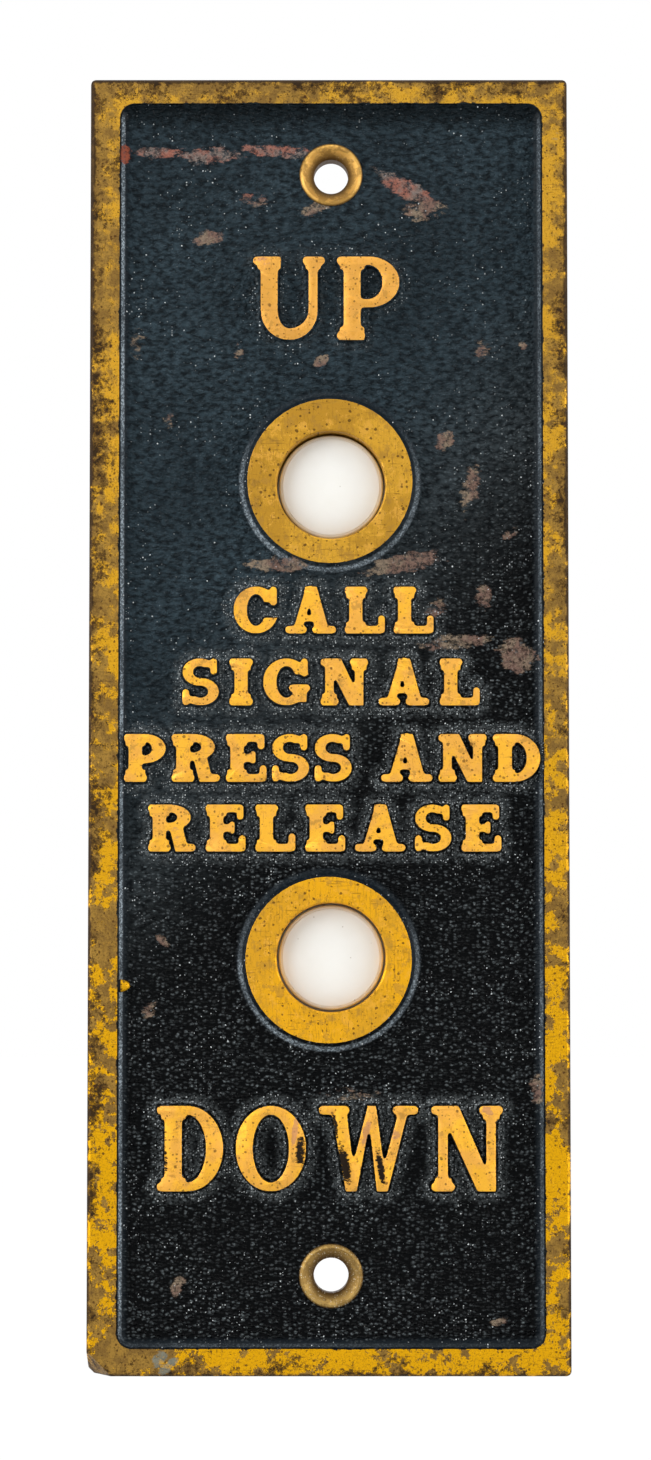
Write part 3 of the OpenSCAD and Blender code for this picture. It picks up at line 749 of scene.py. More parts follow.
def enamel(name, on_field=False):
    """Blue-black stoved enamel with pebbles, rubbed through in patches and with pale dust in its hollows;
    painted highlights on the pebble tops, painted glints among the dust, and a painted lighter reflection
    towards the upper left.
    """
    look = Finish(name)
    parts = look.parts()
    upper = look.band(look.weigh((parts["Z"], 1.0), (parts["X"], -1.1)), -15 * MM, 45 * MM)
    skin = look.use(PEBBLE, pebble_scale=1650.0, leather=upper)
    clouds = look.noise(55.0, 4, 0.6)
    # Painted reflection: the ground is lighter and bluer towards the upper left, where the skin is also
    # leathery.
    ground = look.mix(upper, rgb(2, 3, 4), rgb(15, 22, 26))
    # Painted highlights on the pebble tops, lighter in the lower field.
    top = look.mix(upper, rgb(114, 122, 125), rgb(63, 79, 88))
    lit = look.thinned(skin["Top"], (clouds, 0.3, 0.7, 0.5, 1.0))
    colour = look.mix(lit, ground, top)
    amount = look.band(look.noise(140.0, 4, 0.65), 0.42, 0.68, 0.03, 0.18)
    amount = look.thinned(amount, (upper, 0.0, 1.0, 1.0, 0.6))
    cove = worn = 0.0
    if on_field:
        cove = look.attribute("cove")
        near = letter_dust(look, parts["Z"])
        amount = look.weigh((amount, 1.0), (near, 0.8))
        worn = look.use(WORN_ENAMEL)["Mask"]
        colour = field_wear(look, colour, parts, near, cove, worn)
    # Pale grains: dust, and painted glints on the pebbles.
    dust = look.use(DUST_AND_GLINTS, grain_scale=2600.0, amount=amount)["Mask"]
    colour = look.mix(look.times(dust, 0.9), colour, rgb(222, 228, 230))
    rough = look.weigh((clouds, 0.12), (worn, 0.3), (dust, 0.3), (1.0, 0.3))
    smooth_cove = look.calc("MULTIPLY_ADD", cove, -0.8, 1.0)
    relief = look.weigh((look.times(skin["Height"], smooth_cove), 1.0), (worn, -0.25), (dust, 0.2))
    return look.done(Base_Color=colour, Roughness=rough, Normal=look.bump(relief, 0.2 * MM),
                     Specular_IOR_Level=0.05)


def porcelain(name):
    """White glazed porcelain with a faint warm cloud and a few pinholes."""
    look = Finish(name)
    clouds = look.noise(180.0, 3)
    pinholes = look.band(look.cells(420.0), 0.03, 0.07, 1.0, 0.0)
    colour = look.layers(rgb(246, 246, 243), (clouds, rgb(238, 237, 231)),
                         (look.times(pinholes, 0.5), rgb(150, 140, 122)))
    return look.done(Base_Color=colour, Roughness=look.band(clouds, 0.2, 0.8, 0.16, 0.26),
                     Normal=look.bump(look.noise(240.0, 2), 0.04 * MM), Coat_Weight=0.6, Coat_Roughness=0.06)


# How deep a rolled grain and the rings of a turning tool are
ROLLED_DEPTH, TURNED_DEPTH = 0.008 * MM, 0.03 * MM


def worked_metal(name, bright, dull, rough=(0.28, 0.42), turned_about=None, grain=(1, 1, 1)):
    """Machined metal: turned rings about an axis, or rolled grain, with light tarnish."""
    look = Finish(name)
    marks = look.use(TARNISH, blotch_scale=140.0, speck_scale=1500.0)
    fine = look.noise(700.0, 6, 0.75)
    age = look.weigh((marks["Blotch"], 0.25), (fine, 1.0))
    darker = tuple(0.35 * part for part in dull[:3]) + (1,)
    colour = look.layers(bright, (look.band(age, 0.4, 0.85), dull),
                         (look.times(marks["Speck"], 0.25), darker))
    if turned_about is None:
        relief = look.bump(look.noise(1.0, 3, at=look.stretched(*grain)), ROLLED_DEPTH)
    else:
        rings = look.use(TURNING, centre=turned_about, ring_scale=9000.0)["Height"]
        relief = look.bump(rings, TURNED_DEPTH)
    return look.done(Base_Color=colour, Roughness=look.band(marks["Blotch"], 0, 1, *rough), Normal=relief,
                     Metallic=1.0)


def fibre_board(name):
    """Pressed red fibre: mottled, with short fibres and dusty hollows."""
    look = Finish(name)
    mottle = look.noise(160.0, 5, 0.65)
    fibres = look.noise(1.0, 3, 0.6, at=look.stretched(500, 2500, 4200))
    colour = look.layers(
        rgb(96, 34, 24), (mottle, rgb(134, 58, 42)),
        (look.band(fibres, 0.5, 0.75, 0.0, 0.5), rgb(74, 26, 20)),
        (look.band(look.noise(1800.0, 3, 0.75), 0.66, 0.72, 0.0, 0.4), rgb(160, 140, 124)))
    return look.done(Base_Color=colour, Roughness=look.band(mottle, 0.2, 0.8, 0.45, 0.62),
                     Normal=look.bump(look.calc("ADD", fibres, mottle), 0.06 * MM), Specular_IOR_Level=0.35)


def ebonite(name, centre):
    """Black hard rubber, turned, a little brown with age."""
    look = Finish(name)
    age = look.noise(300.0, 4)
    rings = look.use(TURNING, centre=centre, ring_scale=8000.0)["Height"]
    return look.done(Base_Color=look.mix(age, rgb(24, 22, 21), rgb(46, 39, 33)),
                     Roughness=look.band(age, 0.2, 0.8, 0.32, 0.5), Normal=look.bump(rings, TURNED_DEPTH),
                     Specular_IOR_Level=0.45)


BORDER_BRASS = border_brass("border_brass")
LETTER_BRASS = letter_brass("letter_brass")
CAST_BACK = cast_back("cast_back")
ENAMEL_WALL = enamel("enamel_wall")
ENAMEL_COAT = enamel("enamel_coat", on_field=True)
PORCELAIN = porcelain("glazed_porcelain")
ROLLED_BRASS = worked_metal("rolled_brass", rgb(212, 176, 98), rgb(196, 158, 84), grain=(300, 4000, 4200))
SPRING_BRONZE = worked_metal("spring_bronze", rgb(206, 148, 92), rgb(168, 110, 62), grain=(4500, 4500, 300))
COPPER = worked_metal("copper_strip", rgb(206, 132, 92), rgb(158, 92, 58), grain=(4000, 4000, 400))
SILVER = worked_metal("silver_tips", rgb(216, 216, 210), rgb(180, 180, 174), rough=(0.25, 0.4))
STEEL = worked_metal("bright_steel", rgb(178, 180, 182), rgb(140, 141, 142), grain=(2600, 2600, 2600))
SPRING_STEEL = worked_metal("spring_wire", rgb(150, 151, 154), rgb(104, 104, 107), grain=(3500, 3500, 3500))


# The casting

# Size of the chip at its lower left corner, and the order of its finishes
CHIP = 0.9 * MM
GROUND, ENAMELLED, AS_CAST = 0, 1, 2


def ring_gap(at):
    """Distance outside the nearer ring."""
    return min(math.hypot(at.x - x, at.z - z) for x, z in RING_CENTRES) - RING_R


def screw_gap(at):
    """Distance outside the rim of the nearer screw hole."""
    return math.hypot(at.x, abs(at.z) - SCREW_Z) - SCREW_RIM_R


def plate_finish(at, towards):
    """The finish of a face of the plate: its raised faces are ground, its walls and field enamelled."""
    in_field = abs(at.x) < FIELD_W / 2 + 0.05 * MM and abs(at.z) < FIELD_H / 2 + 0.05 * MM
    under_coat = in_field and ring_gap(at) > -2 * MM and screw_gap(at) > 0.05 * MM
    behind = at.y > -0.2 * MM or (towards.y > 0.3 and at.y > FIELD_Y)
    if behind or (under_coat and at.y > FIELD_Y + 0.1 * MM):
        return AS_CAST
    on_top = at.y < FRONT_Y + 0.2 * MM and towards.y < -0.6
    return ENAMELLED if under_coat and not on_top else GROUND


def faceplate_casting():
    """The plate, with its corner chipped and its edges worn."""
    plate = copy_of_node("faceplate", "faceplate_casting")
    edit(plate)
    cut_off((PLATE_LOW.x + CHIP / 2, 0, PLATE_LOW.z + CHIP / 2), (-1, -0.5, -1.15), 1e-6)
    object_mode()
    break_edges(plate, 0.16 * MM, 35, miter_outer="MITER_ARC")
    paint(plate, BORDER_BRASS, ENAMEL_WALL, CAST_BACK)
    for face in plate.data.polygons:
        face.material_index = plate_finish(face.center, face.normal)
    smooth_edges(plate)
    place(plate, "station", "cast_brass", "faceplate")
    return plate


def cast_burr():
    """Tongue of brass that the mould left on the inner edge of the border, low on the left."""
    deselect()
    bpy.ops.mesh.primitive_uv_sphere_add(segments=24, ring_count=16, radius=1,
                                         location=(-FIELD_W / 2 - 0.3 * MM, FRONT_Y + 0.75 * MM, -42.6 * MM))
    burr = named(bpy.context.object, "border_burr")
    burr.scale = (2.3 * MM, 0.76 * MM, 1.1 * MM)
    apply_place()
    paint(burr, BORDER_BRASS)
    smooth(burr, 60)
    place(burr, "station", "cast_brass")


# The letters, modelled in millimetres: x across and z up from the letter's lower left corner
STROKE_DEPTH = 3.0
ROUND_STEPS = 64
UPRIGHT = (math.pi / 2, 0, 0)
Pen = namedtuple("Pen", "stem thin slab reach")


def bar(x0, x1, z0, z1):
    """Upright or level stroke."""
    deselect()
    bpy.ops.mesh.primitive_cube_add(size=1, location=((x0 + x1) / 2, 0, (z0 + z1) / 2),
                                    scale=(x1 - x0, STROKE_DEPTH, z1 - z0))
    return bpy.context.object


def leaning(x_foot, x_head, width, z0, z1, head_width=None):
    """Slanted stroke: its head is moved across, and may be narrower than its foot."""
    stroke = bar(x_foot, x_foot + width, z0, z1)
    apply_place()
    pick_points(stroke, lambda at: at.z > (z0 + z1) / 2)
    edit(stroke, everything=False)
    bpy.ops.transform.resize(value=((head_width or width) / width, 1, 1), center_override=(x_foot, 0, z1))
    bpy.ops.transform.translate(value=(x_head - x_foot, 0, 0))
    object_mode()
    return stroke


def tip(x, z, radius):
    """Round end of a stroke."""
    deselect()
    bpy.ops.mesh.primitive_cylinder_add(vertices=32, radius=radius, depth=STROKE_DEPTH, location=(x, 0, z),
                                        rotation=UPRIGHT)
    return bpy.context.object


def serif(x0, x1, z, slab):
    """Level slab with round ends, about the height z."""
    half = slab / 2
    return [bar(x0 + half, x1 - half, z - half, z + half), tip(x0 + half, z, half), tip(x1 - half, z, half)]


def stem_of(x0, x1, h, slab, foot=None, head=None):
    """Upright stem, with the ends of the serifs that it has and a bracket to each."""
    strokes = [bar(x0, x1, 0, h)]
    flare = 0.35 * slab
    if foot:
        strokes += serif(*foot, slab / 2, slab) + [bar(x0 - flare, x1 + flare, 0, 1.45 * slab)]
    if head:
        strokes += serif(*head, h - slab / 2, slab) + [bar(x0 - flare, x1 + flare, h - 1.45 * slab, h)]
    return strokes


def beak(x, z0, z1, slab):
    """Upright end of a curved or level stroke, round below and above."""
    half = 0.45 * slab
    return [bar(x - 2 * half, x, z0 + half, z1 - half), tip(x - half, z0 + half, half),
            tip(x - half, z1 - half, half)]


def bowl(x, z, reach_x, reach_z, side, level, *cuts):
    """Round stroke, side wide left and right, level thick above and below, cut to half planes."""
    stroke = empty_mesh("bowl")
    middle = (x, -STROKE_DEPTH / 2, z)
    for rx, rz in ((reach_x, reach_z), (reach_x - side, reach_z - level)):
        bpy.ops.mesh.primitive_circle_add(vertices=ROUND_STEPS, radius=1, location=middle, rotation=UPRIGHT)
        bpy.ops.transform.resize(value=(rx, 1, rz), center_override=middle)
    select_mesh()
    bpy.ops.mesh.bridge_edge_loops()
    select_mesh()
    bpy.ops.mesh.extrude_region_move(TRANSFORM_OT_translate={"value": (0, STROKE_DEPTH, 0)})
    select_mesh()
    bpy.ops.mesh.normals_make_consistent(inside=False)
    for cut_x, cut_z, keep_x, keep_z in cuts:
        select_mesh()
        bpy.ops.mesh.bisect(plane_co=(cut_x, 0, cut_z), plane_no=(keep_x, 0, keep_z), use_fill=True,
                            clear_inner=True)
    object_mode()
    return stroke


def open_bowl(w, h, pen, gap=0.15):
    """Round stroke that is open to the right."""
    x, z = 0.52 * w, h / 2
    ring = (x, z, 0.52 * w, z, pen.stem, pen.slab)
    return [
        bowl(*ring, (x, z, -1, 0)), bowl(*ring, (x, z, 1, 0), (x, z + gap * h, 0, 1)),
        bowl(*ring, (x, z, 1, 0), (x, z - gap * h, 0, -1)),
    ]


def upper_bowl(w, h, pen, share):
    """Stem with a foot, and a closed bowl that takes this share of the height."""
    stem, slab = pen.stem, pen.slab
    left, x = 0.11 * w, 0.5 * w
    high = share * h / 2
    return stem_of(left, left + stem, h, slab, (0, pen.reach), (0, x + slab / 2)) + [
        bar(left, x, h - 2 * high, h - 2 * high + slab),
        bowl(x, h - high, w - x, high, stem, slab, (x, h - high, 1, 0)),
    ]


def letter_a(w, h, pen):
    stem, thin, slab = pen.stem, pen.thin, pen.slab
    apex = 0.5 * w
    return serif(0, 0.44 * w, slab / 2, slab) + serif(0.52 * w, w, slab / 2, slab) + [
        leaning(0.13 * w, apex - 0.5 * thin, thin, 0, h), tip(apex, h - 0.45 * stem, 0.5 * stem),
        leaning(0.88 * w - stem, apex - 0.45 * stem, stem, 0, h, 0.9 * stem),
        bar(0.25 * w, 0.72 * w, 0.25 * h, 0.25 * h + 0.8 * slab),
    ]


def letter_c(w, h, pen):
    return open_bowl(w, h, pen) + beak(w, 0.58 * h, h, pen.slab)


def letter_d(w, h, pen):
    stem, slab = pen.stem, pen.slab
    left, x = 0.12 * w, 0.46 * w
    round_part = bowl(x, h / 2, w - x, h / 2, stem, slab, (x, h / 2, 1, 0))
    return stem_of(left, left + stem, h, slab, (0, x + slab / 2), (0, x + slab / 2)) + [round_part]


def letter_e(w, h, pen):
    slab, left = pen.slab, 0.11 * w
    strokes = stem_of(left, left + pen.stem, h, slab, (0, w), (0, 0.95 * w)) + beak(w, 0, 0.36 * h, slab)
    strokes += beak(0.95 * w, 0.66 * h, h, slab) + beak(0.74 * w, 0.37 * h, 0.65 * h, 0.8 * slab)
    return strokes + [bar(left, 0.7 * w, h / 2 - slab / 2, h / 2 + slab / 2)]


def letter_g(w, h, pen):
    slab, right = pen.slab, 0.93 * w
    strokes = open_bowl(0.95 * w, h, pen) + beak(0.95 * w, 0.6 * h, h, slab)
    strokes += serif(0.54 * w, w, 0.46 * h - slab / 2, slab)
    return strokes + [bar(right - pen.stem, right, 0.07 * h, 0.44 * h)]


def letter_i(w, h, pen):
    return stem_of(w / 2 - pen.stem / 2, w / 2 + pen.stem / 2, h, pen.slab, (0, w), (0, w))


def letter_l(w, h, pen):
    slab, left = pen.slab, 0.11 * w
    return stem_of(left, left + pen.stem, h, slab, (0, w), (0, pen.reach)) + beak(w, 0, 0.4 * h, slab)


def letter_n(w, h, pen):
    stem, thin, slab = pen.stem, pen.thin, pen.slab
    left, right = 0.1 * w, 0.9 * w
    strokes = stem_of(left, left + thin, h, slab, (0, left + thin + 0.1 * w))
    strokes += stem_of(right - thin, right, h, slab, None, (right - thin - 0.1 * w, w))
    strokes += serif(0, 0.32 * w, h - slab / 2, slab)
    return strokes + [leaning(right - 1.05 * stem, left, 1.05 * stem, 0, h, 1.15 * stem)]


def letter_o(w, h, pen):
    return [bowl(w / 2, h / 2, w / 2, h / 2, pen.stem, pen.slab)]


def letter_p(w, h, pen):
    return upper_bowl(w, h, pen, 0.62)


def letter_r(w, h, pen):
    return upper_bowl(0.9 * w, h, pen, 0.56) + serif(0.62 * w, w, pen.slab / 2, pen.slab) + [
        leaning(0.86 * w - pen.stem, 0.44 * w, pen.stem, 0, 0.52 * h),
    ]


def letter_s(w, h, pen):
    slab = pen.slab
    curve = (h + slab) / 4
    x, side = w / 2, 0.8 * pen.stem
    low = (x, curve, x, curve, side, slab)
    high = (0.95 * x, h - curve, 0.95 * x, curve, side, slab)
    return [
        bowl(*high, (x, 0, -1, 0)), bowl(*high, (x, 0, 1, 0), (0, h - 0.7 * curve, 0, 1)),
        bowl(*low, (x, 0, 1, 0)), bowl(*low, (x, 0, -1, 0), (0, 0.7 * curve, 0, -1)),
    ] + beak(0.95 * w, 0.64 * h, h, slab) + beak(0.9 * slab, 0, 0.36 * h, slab)


def letter_u(w, h, pen):
    stem, thin, slab, reach = pen
    left, right = 0.11 * w, 0.9 * w
    x, curve = (left + right) / 2, 0.36 * h
    half = (right - left) / 2
    return serif(0, reach, h - slab / 2, slab) + serif(w - 0.8 * reach, w, h - slab / 2, slab) + [
        bar(left, left + stem, curve, h), bar(right - thin, right, curve, h),
        bar(left - 0.3 * slab, left + stem + 0.3 * slab, h - 1.4 * slab, h),
        bar(right - thin - 0.3 * slab, right + 0.3 * slab, h - 1.4 * slab, h),
        bowl(x, curve, half, curve, stem, 1.3 * slab, (x, 0, -1, 0), (0, curve, 0, -1)),
        bowl(x, curve, half, curve, thin, 1.3 * slab, (x, 0, 1, 0), (0, curve, 0, -1)),
    ]


def letter_w(w, h, pen):
    slab = pen.slab
    thick, slim, foot = 0.165 * w, 0.105 * w, 0.12 * w
    strokes = serif(0, 0.32 * w, h - slab / 2, slab) + serif(0.73 * w, w, h - slab / 2, slab)
    for low, high, head in ((0.33, 0.2, thick), (0.635, 0.53, 0.6 * thick), (0.33, 0.52, 0.6 * slim),
                            (0.635, 0.86, slim)):
        strokes.append(leaning(low * w - foot / 2, high * w - head / 2, foot, 0, h, head))
    return strokes


LETTERS = {"A": letter_a, "C": letter_c, "D": letter_d, "E": letter_e, "G": letter_g, "I": letter_i,
           "L": letter_l, "N": letter_n, "O": letter_o, "P": letter_p, "R": letter_r, "S": letter_s,
           "U": letter_u, "W": letter_w}
# Width of each letter as a share of its height
WIDTHS = {"A": 1.08, "C": 0.92, "D": 1.0, "E": 0.86, "G": 1.0, "I": 0.52, "L": 0.86, "N": 1.02, "O": 1.0,
          "P": 0.88, "R": 1.02, "S": 0.78, "U": 1.0, "W": 1.4}
# Widths of the letters of the two large words
LARGE_WIDTHS = {"U": 0.86, "P": 0.75, "D": 0.785, "O": 0.83, "W": 1.17, "N": 0.85}
# Stem, thin stem, slab and serif of the small and the large letters, as shares of the height
SMALL_PEN = Pen(0.3, 0.2, 0.18, 0.5)
LARGE_PEN = Pen(0.215, 0.125, 0.118, 0.35)

# Each word: its letters, left and right ends, foot and height on the plate in mm, its pen and its widths
WORDS = (
    ("word_up", "UP", -12.8, 11.2, 61.5, 13.9, LARGE_PEN, LARGE_WIDTHS),
    ("word_call", "CALL", -15.8, 16.6, 13.9, 7.76, SMALL_PEN, WIDTHS),
    ("word_signal", "SIGNAL", -24.0, 24.0, 2.3, 7.74, SMALL_PEN, WIDTHS),
    ("words_press_and", "PRESS AND", -33.4, 33.7, -10.0, 7.85, SMALL_PEN, WIDTHS),
    ("word_release", "RELEASE", -29.5, 27.4, -21.2, 7.7, SMALL_PEN, WIDTHS),
    ("word_down", "DOWN", -28.0, 27.6, -75.5, 13.85, LARGE_PEN, LARGE_WIDTHS),
)
WORD_GAP = 4.5
# Grid that a letter's strokes melt into, and passes of smoothing for each millimetre of its height
VOXEL = 0.12
LETTER_SOFTNESS = 5.0
# How much is ground off a letter, where its face is then, and how far its foot sinks into the plate
GROUND_OFF = 0.12
LETTER_FACE = GROUND_OFF - STROKE_DEPTH / 2
LETTER_SINK = 0.45 * MM


def cast_letter(sign, width, height, pen):
    """One letter in millimetres: its strokes run together, with soft inner corners."""
    strokes = LETTERS[sign](width, height, Pen(*(share * height for share in pen)))
    letter = empty_mesh("letter")
    object_mode()
    join([letter] + strokes, "letter")
    modify(letter, "REMESH", mode="VOXEL", voxel_size=VOXEL, adaptivity=0.0)
    modify(letter, "SMOOTH", factor=0.5, iterations=round(LETTER_SOFTNESS * height))
    return letter


def ground_word(name, signs, x0, x1, foot, height, pen, widths):
    """A word on the plate: letters spaced between its ends, ground level with the border."""
    total = sum(widths[sign] * height for sign in signs if sign != " ")
    gaps = sum(1 for a, b in zip(signs, signs[1:]) if " " not in (a, b))
    gap = (x1 - x0 - total - WORD_GAP * signs.count(" ")) / gaps
    made, at = [], x0
    for sign in signs:
        if sign == " ":
            at += WORD_GAP - gap
            continue
        letter = cast_letter(sign, widths[sign] * height, height, pen)
        edit(letter)
        bpy.ops.transform.translate(value=(at, 0, foot))
        object_mode()
        made.append(letter)
        at += widths[sign] * height + gap
    word = join(made, name)
    edit(word)
    cut_off((0, LETTER_FACE, 0), (0, -1, 0), 1e-5)
    cut_off((0, LETTER_FACE + (RELIEF + LETTER_SINK) / MM, 0), (0, 1, 0), 1e-5)
    select_mesh()
    bpy.ops.transform.translate(value=(0, -LETTER_FACE, 0))
    object_mode()
    word.scale = (MM, MM, MM)
    word.location = (0, FRONT_Y, 0)
    make_active(word)
    apply_place()
    paint(word, LETTER_BRASS, ENAMEL_WALL)
    for face in word.data.polygons:
        face.material_index = 0 if face.normal.y < -0.7 else 1
    smooth(word, 40)
    place(word, "station", "cast_brass")
    return word


# The enamel on the field

COAT_STEP = 0.38 * MM
COAT_MARGIN = 0.02 * MM
COAT_THICKNESS = 0.09 * MM
COAT_SINK = 0.3 * MM
COAT_BACK_Y = FIELD_Y + 0.5 * MM
SLOPE_TOP, SLOPE_WIDTH = 0.24 * MM, 1.7 * MM
FILLET_RISE, FILLET_REACH = 0.3 * MM, 0.75 * MM
PEBBLE_PITCH, PEBBLE_RISE = 1.1 * MM, 0.03 * MM


def wall_gap(at):
    """Distance on the field from its border or from the nearer ring, and how far that wall faces down."""
    dx = abs(at.x) - FIELD_W / 2 + FIELD_CORNER_R
    dz = abs(at.z) - FIELD_H / 2 + FIELD_CORNER_R
    border = FIELD_CORNER_R - math.hypot(max(dx, 0), max(dz, 0)) - min(max(dx, dz), 0)
    walls = [(border, 1.0 if dz > dx and at.z > 0 else 0.0)]
    for x, z in RING_CENTRES:
        away = math.hypot(at.x - x, at.z - z)
        walls.append((away - RING_R, max(0, z - at.z) / max(away, MM)))
    return min(walls)


def letter_feet(words):
    """A tree to look up the nearest foot of a letter in."""
    feet = [v.co for word in words for v in word.data.vertices if v.co.y > FIELD_Y - 0.5 * MM]
    tree = kdtree.KDTree(len(feet))
    for index, at in enumerate(feet):
        tree.insert((at.x, 0, at.z), index)
    tree.balance()
    return tree


def lay_coat(coat, words):
    """Lays the points of the coat over field, coves and feet, and notes how near to them each point is."""
    feet = letter_feet(words)
    pebbled = coat.vertex_groups.new(name="pebbled")
    letter_gaps, coves = [], []
    for vertex in coat.data.vertices:
        at = vertex.co
        if screw_gap(at) < COAT_STEP:
            at.y = FIELD_Y
        on_top = at.y < FRONT_Y + 0.25 * MM
        gap = feet.find((at.x, 0, at.z))[2]
        fillet = FILLET_RISE * max(0, 1 - gap / FILLET_REACH) ** 2
        gap_to_wall, facing_down = wall_gap(at)
        slope = max(0, 1 - max(0, gap_to_wall) / SLOPE_WIDTH)
        cove = min(1, 2.5 * slope) * (1 - 0.95 * facing_down ** 2)
        laid = min(at.y, FIELD_Y) - COAT_THICKNESS - fillet
        banked = FIELD_Y - (RELIEF - SLOPE_TOP) * slope ** 1.6
        at.y = FRONT_Y + COAT_SINK if on_top else max(min(laid, banked), FRONT_Y + SLOPE_TOP)
        letter_gaps.append(gap / MM)
        coves.append(cove)
        pebbled.add([vertex.index], 1 - 0.8 * cove, "REPLACE")
    for label, values in (("letter_gap", letter_gaps), ("cove", coves)):
        coat.data.attributes.new(label, "FLOAT", "POINT").data.foreach_set("value", values)


def enamel_coat(plate, words):
    """The skin of enamel: a grid laid on the plate, pebbled, open at rings and screws, with a flat back."""
    deselect()
    columns, rows = round(FIELD_W / COAT_STEP), round(FIELD_H / COAT_STEP)
    bpy.ops.mesh.primitive_grid_add(x_subdivisions=columns, y_subdivisions=rows, size=1,
                                    location=(0, FRONT_Y - MM, 0), rotation=UPRIGHT)
    coat = named(bpy.context.object, "enamel_coat")
    coat.scale = (FIELD_W - 2 * COAT_MARGIN, FIELD_H - 2 * COAT_MARGIN, 1)
    apply_place()
    modify(coat, "SHRINKWRAP", target=plate, wrap_method="PROJECT", use_project_y=True,
           use_negative_direction=True, use_positive_direction=True)
    lay_coat(coat, words)
    pebbles = bpy.data.textures.new("coat_pebbles", "VORONOI")
    pebbles.noise_scale = PEBBLE_PITCH
    pebbles.weight_1 = -1
    modify(coat, "DISPLACE", texture=pebbles, texture_coords="LOCAL", direction="Y", strength=-PEBBLE_RISE,
           mid_level=0.0, vertex_group="pebbled")
    pick_points(coat, lambda at: ring_gap(at) < -1.2 * MM or screw_gap(at) < -0.6 * MM)
    edit(coat, everything=False)
    bpy.ops.mesh.delete(type="VERT")
    select_mesh()
    bpy.ops.mesh.region_to_loop()
    bpy.ops.mesh.extrude_edges_move(TRANSFORM_OT_translate={"value": (0, 0, 0)})
    bpy.ops.transform.resize(value=(1, 0, 1), center_override=(0, COAT_BACK_Y, 0))
    bpy.ops.mesh.fill(use_beauty=False)
    select_mesh()
    bpy.ops.mesh.normals_make_consistent(inside=False)
    object_mode()
    paint(coat, ENAMEL_COAT)
    make_active(coat)
    bpy.ops.object.shade_smooth()
    place(coat, "station", "black_enamel")


# The buttons and the contact unit

# How far the edges of glazed, fine, common and heavy pieces are broken
GLAZED_EDGE, FINE_EDGE, EDGE, HEAVY_EDGE = 0.1 * MM, 0.12 * MM, 0.18 * MM, 0.3 * MM


def softened(node_name, body, slot, finish, edge=EDGE):
    """A node of the frame with its edges broken as a maker leaves them."""
    piece = copy_of_node(node_name, node_name + "_finished")
    break_edges(piece, edge, 40)
    paint(piece, finish)
    smooth_edges(piece)
    place(piece, body, slot, node_name)


COIL_R, WIRE_R, COIL_TURNS = 4.3 * MM, 0.35 * MM, 6
STEPS_PER_TURN = 40


def return_spring(side, z):
    """Compression spring of round wire with a closed turn at each end."""
    length = SPRING_BACK_Y - SPRING_FRONT_Y
    open_pitch = (length - 6 * WIRE_R) / (COIL_TURNS - 2)
    deselect()
    curve = bpy.data.curves.new(side + "_spring_wire", "CURVE")
    curve.dimensions = "3D"
    curve.bevel_depth = WIRE_R
    curve.bevel_resolution = 3
    curve.use_fill_caps = True
    line = curve.splines.new("POLY")
    line.points.add(COIL_TURNS * STEPS_PER_TURN)
    for step, point in enumerate(line.points):
        turn = step / STEPS_PER_TURN
        if turn < 1:
            rise = turn * 2 * WIRE_R
        elif turn > COIL_TURNS - 1:
            rise = length - 2 * WIRE_R - (COIL_TURNS - turn) * 2 * WIRE_R
        else:
            rise = 2 * WIRE_R + (turn - 1) * open_pitch
        x, up = COIL_R * math.cos(2 * math.pi * turn), COIL_R * math.sin(2 * math.pi * turn)
        point.co = (x, SPRING_BACK_Y - WIRE_R - rise, z + up, 1)
    spring = bpy.data.objects.new(side + "_spring_wire", curve)
    bpy.context.scene.collection.objects.link(spring)
    make_active(spring)
    bpy.ops.object.convert(target="MESH")
    spring = bpy.context.object
    edit(spring)
    bpy.ops.mesh.normals_make_consistent(inside=False)
    object_mode()
    paint(spring, SPRING_STEEL)
    smooth(spring, 60)
    place(spring, "station", "spring_steel", side + "_return_spring")
    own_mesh(spring)


def push_button(side, z):
    """Cap, plunger, insulators, disc and nut of one button, with its bush, fingers and spring."""
    axis = (0, 0, z)
    turned = worked_metal(side + "_turned_brass", rgb(222, 188, 112), rgb(190, 152, 84), turned_about=axis)
    rubber = ebonite(side + "_ebonite", axis)
    for name, slot, finish, edge in (
            ("_button_cap", "porcelain", PORCELAIN, GLAZED_EDGE),
            ("_plunger", "turned_brass", turned, EDGE),
            ("_insulating_bush", "ebonite", rubber, EDGE),
            ("_contact_disc", "copper", COPPER, EDGE),
            ("_insulating_washer", "ebonite", rubber, EDGE),
            ("_plunger_nut", "turned_brass", ROLLED_BRASS, EDGE)):
        softened(side + name, side + "_button", slot, finish, edge)
    softened(side + "_guide_bush", "station", "turned_brass", turned)
    for hand in ("left", "right"):
        softened(side + "_finger_" + hand, "station", "spring_bronze", SPRING_BRONZE, FINE_EDGE)
    return_spring(side, z)


def contact_unit():
    """Everything fixed behind the plate."""
    for name, slot, finish, edge in (
            ("guide_plate", "rolled_brass", ROLLED_BRASS, EDGE),
            ("rear_spacers", "turned_brass", ROLLED_BRASS, EDGE),
            ("contact_base", "red_fibre", fibre_board("red_fibre"), HEAVY_EDGE),
            ("base_washers", "steel", STEEL, FINE_EDGE),
            ("base_screws", "steel", STEEL, EDGE),
            ("contact_tips", "contact_silver", SILVER, HEAVY_EDGE),
            ("terminal_screws", "turned_brass", ROLLED_BRASS, EDGE),
            ("terminal_washers", "rolled_brass", ROLLED_BRASS, FINE_EDGE),
            ("terminal_nuts", "turned_brass", ROLLED_BRASS, EDGE),
            ("common_link", "copper", COPPER, FINE_EDGE)):
        softened(name, "station", slot, finish, edge)


# The stage

# Light that the surround gives, and the glow of the floor with its share where it is seen
WORLD_LIGHT = 0.17
FLOOR_GLOW, GLOW_SHARE = 1.03, 0.97
FLOOR_DROP = 60 * MM
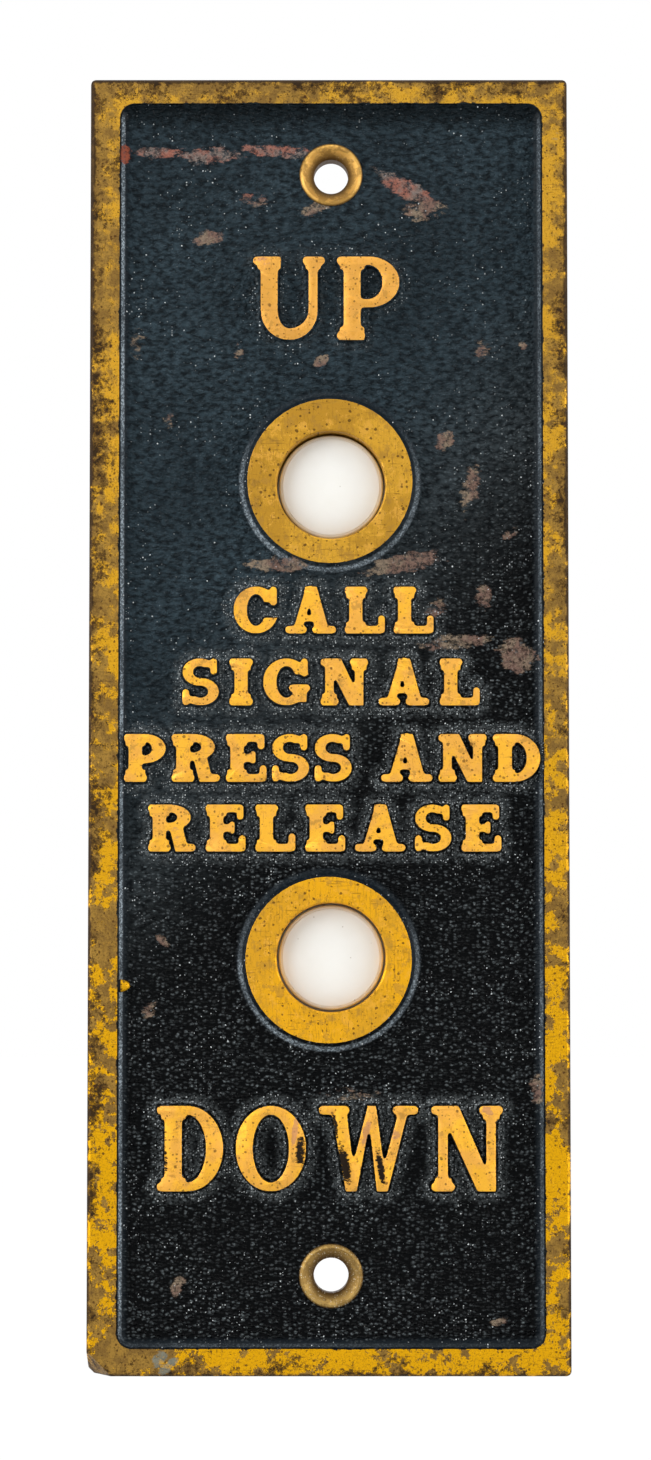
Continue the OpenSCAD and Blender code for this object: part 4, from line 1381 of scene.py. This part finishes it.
# Name, place, width, height and power: three lamps in front, three at the sides that rake the relief
LAMPS = (
    ("key_lamp", (-0.56, -0.5, 0.22), 0.4, 0.4, 2.7), ("fill_lamp", (0.6, -0.5, 0.0), 0.4, 0.4, 1.3),
    ("top_lamp", (0.0, -0.42, 0.62), 0.45, 0.45, 1.1), ("left_rake", (-0.7, -0.2, 0.06), 0.26, 0.6, 2.9),
    ("right_rake", (0.7, -0.2, 0.0), 0.26, 0.6, 2.9), ("top_rake", (0.0, -0.16, 0.75), 0.5, 0.26, 0.9),
)
# The camera: a little below the middle of the plate, looking up
LENS, SENSOR_WIDTH = 98.93, 36
CAMERA_AT = (-0.9 * MM, -650 * MM, -42.2 * MM)
CAMERA_TILT = math.radians(93.61)


def surround(scene):
    """White where it is seen, and dim as a light."""
    scene.world = bpy.data.worlds.new("studio")
    scene.world.use_nodes = True
    sky = Nodes(scene.world.node_tree)
    background = sky.tree.nodes["Background"].inputs
    sky.feed(background["Color"], WHITE)
    sky.feed(background["Strength"], sky.band(sky.seen(), 0.0, 1.0, WORLD_LIGHT, 1.0))


def pale_floor():
    """Pale floor under the plate, which glows white where it is seen and keeps a shadow."""
    deselect()
    bpy.ops.mesh.primitive_plane_add(size=8, location=(0, 2, PLATE_LOW.z - FLOOR_DROP))
    floor = bpy.context.object
    floor.name = "floor"
    look = Finish("pale_floor")
    tone = look.mix(look.noise(3.0), rgb(238, 238, 236), rgb(244, 244, 242))
    paint(floor, look.done(Base_Color=tone, Roughness=0.9))
    glow = look.node("Emission", {"Color": WHITE, "Strength": FLOOR_GLOW})[0]
    shown = look.times(look.seen(), GLOW_SHARE)
    blend = look.node("MixShader", {0: shown, 1: look.shader.outputs[0], 2: glow})[0]
    look.feed(look.tree.nodes["Material Output"].inputs["Surface"], blend)


def stage():
    """Surround, floor, soft lamps and the camera at the photograph's angle."""
    scene = bpy.context.scene
    surround(scene)
    pale_floor()
    for name, at, width, height, power in LAMPS:
        lamp = bpy.data.lights.new(name, "AREA")
        lamp.shape = "RECTANGLE"
        lamp.size = width
        lamp.size_y = height
        lamp.energy = power
        holder = bpy.data.objects.new(name, lamp)
        holder.location = at
        holder.rotation_euler = (-Vector(at)).to_track_quat("-Z", "Y").to_euler()
        scene.collection.objects.link(holder)

    view = bpy.data.cameras.new("camera")
    view.lens = LENS
    view.sensor_width = SENSOR_WIDTH
    camera = bpy.data.objects.new("camera", view)
    camera.location = CAMERA_AT
    camera.rotation_euler = (CAMERA_TILT, 0, 0)
    scene.collection.objects.link(camera)
    scene.camera = camera
    scene.view_settings.view_transform = "Standard"


stage()
casting = faceplate_casting()
cast_burr()
words = [ground_word(*word) for word in WORDS]
enamel_coat(casting, words)
push_button("up", UP_Z)
push_button("down", DOWN_Z)
contact_unit()
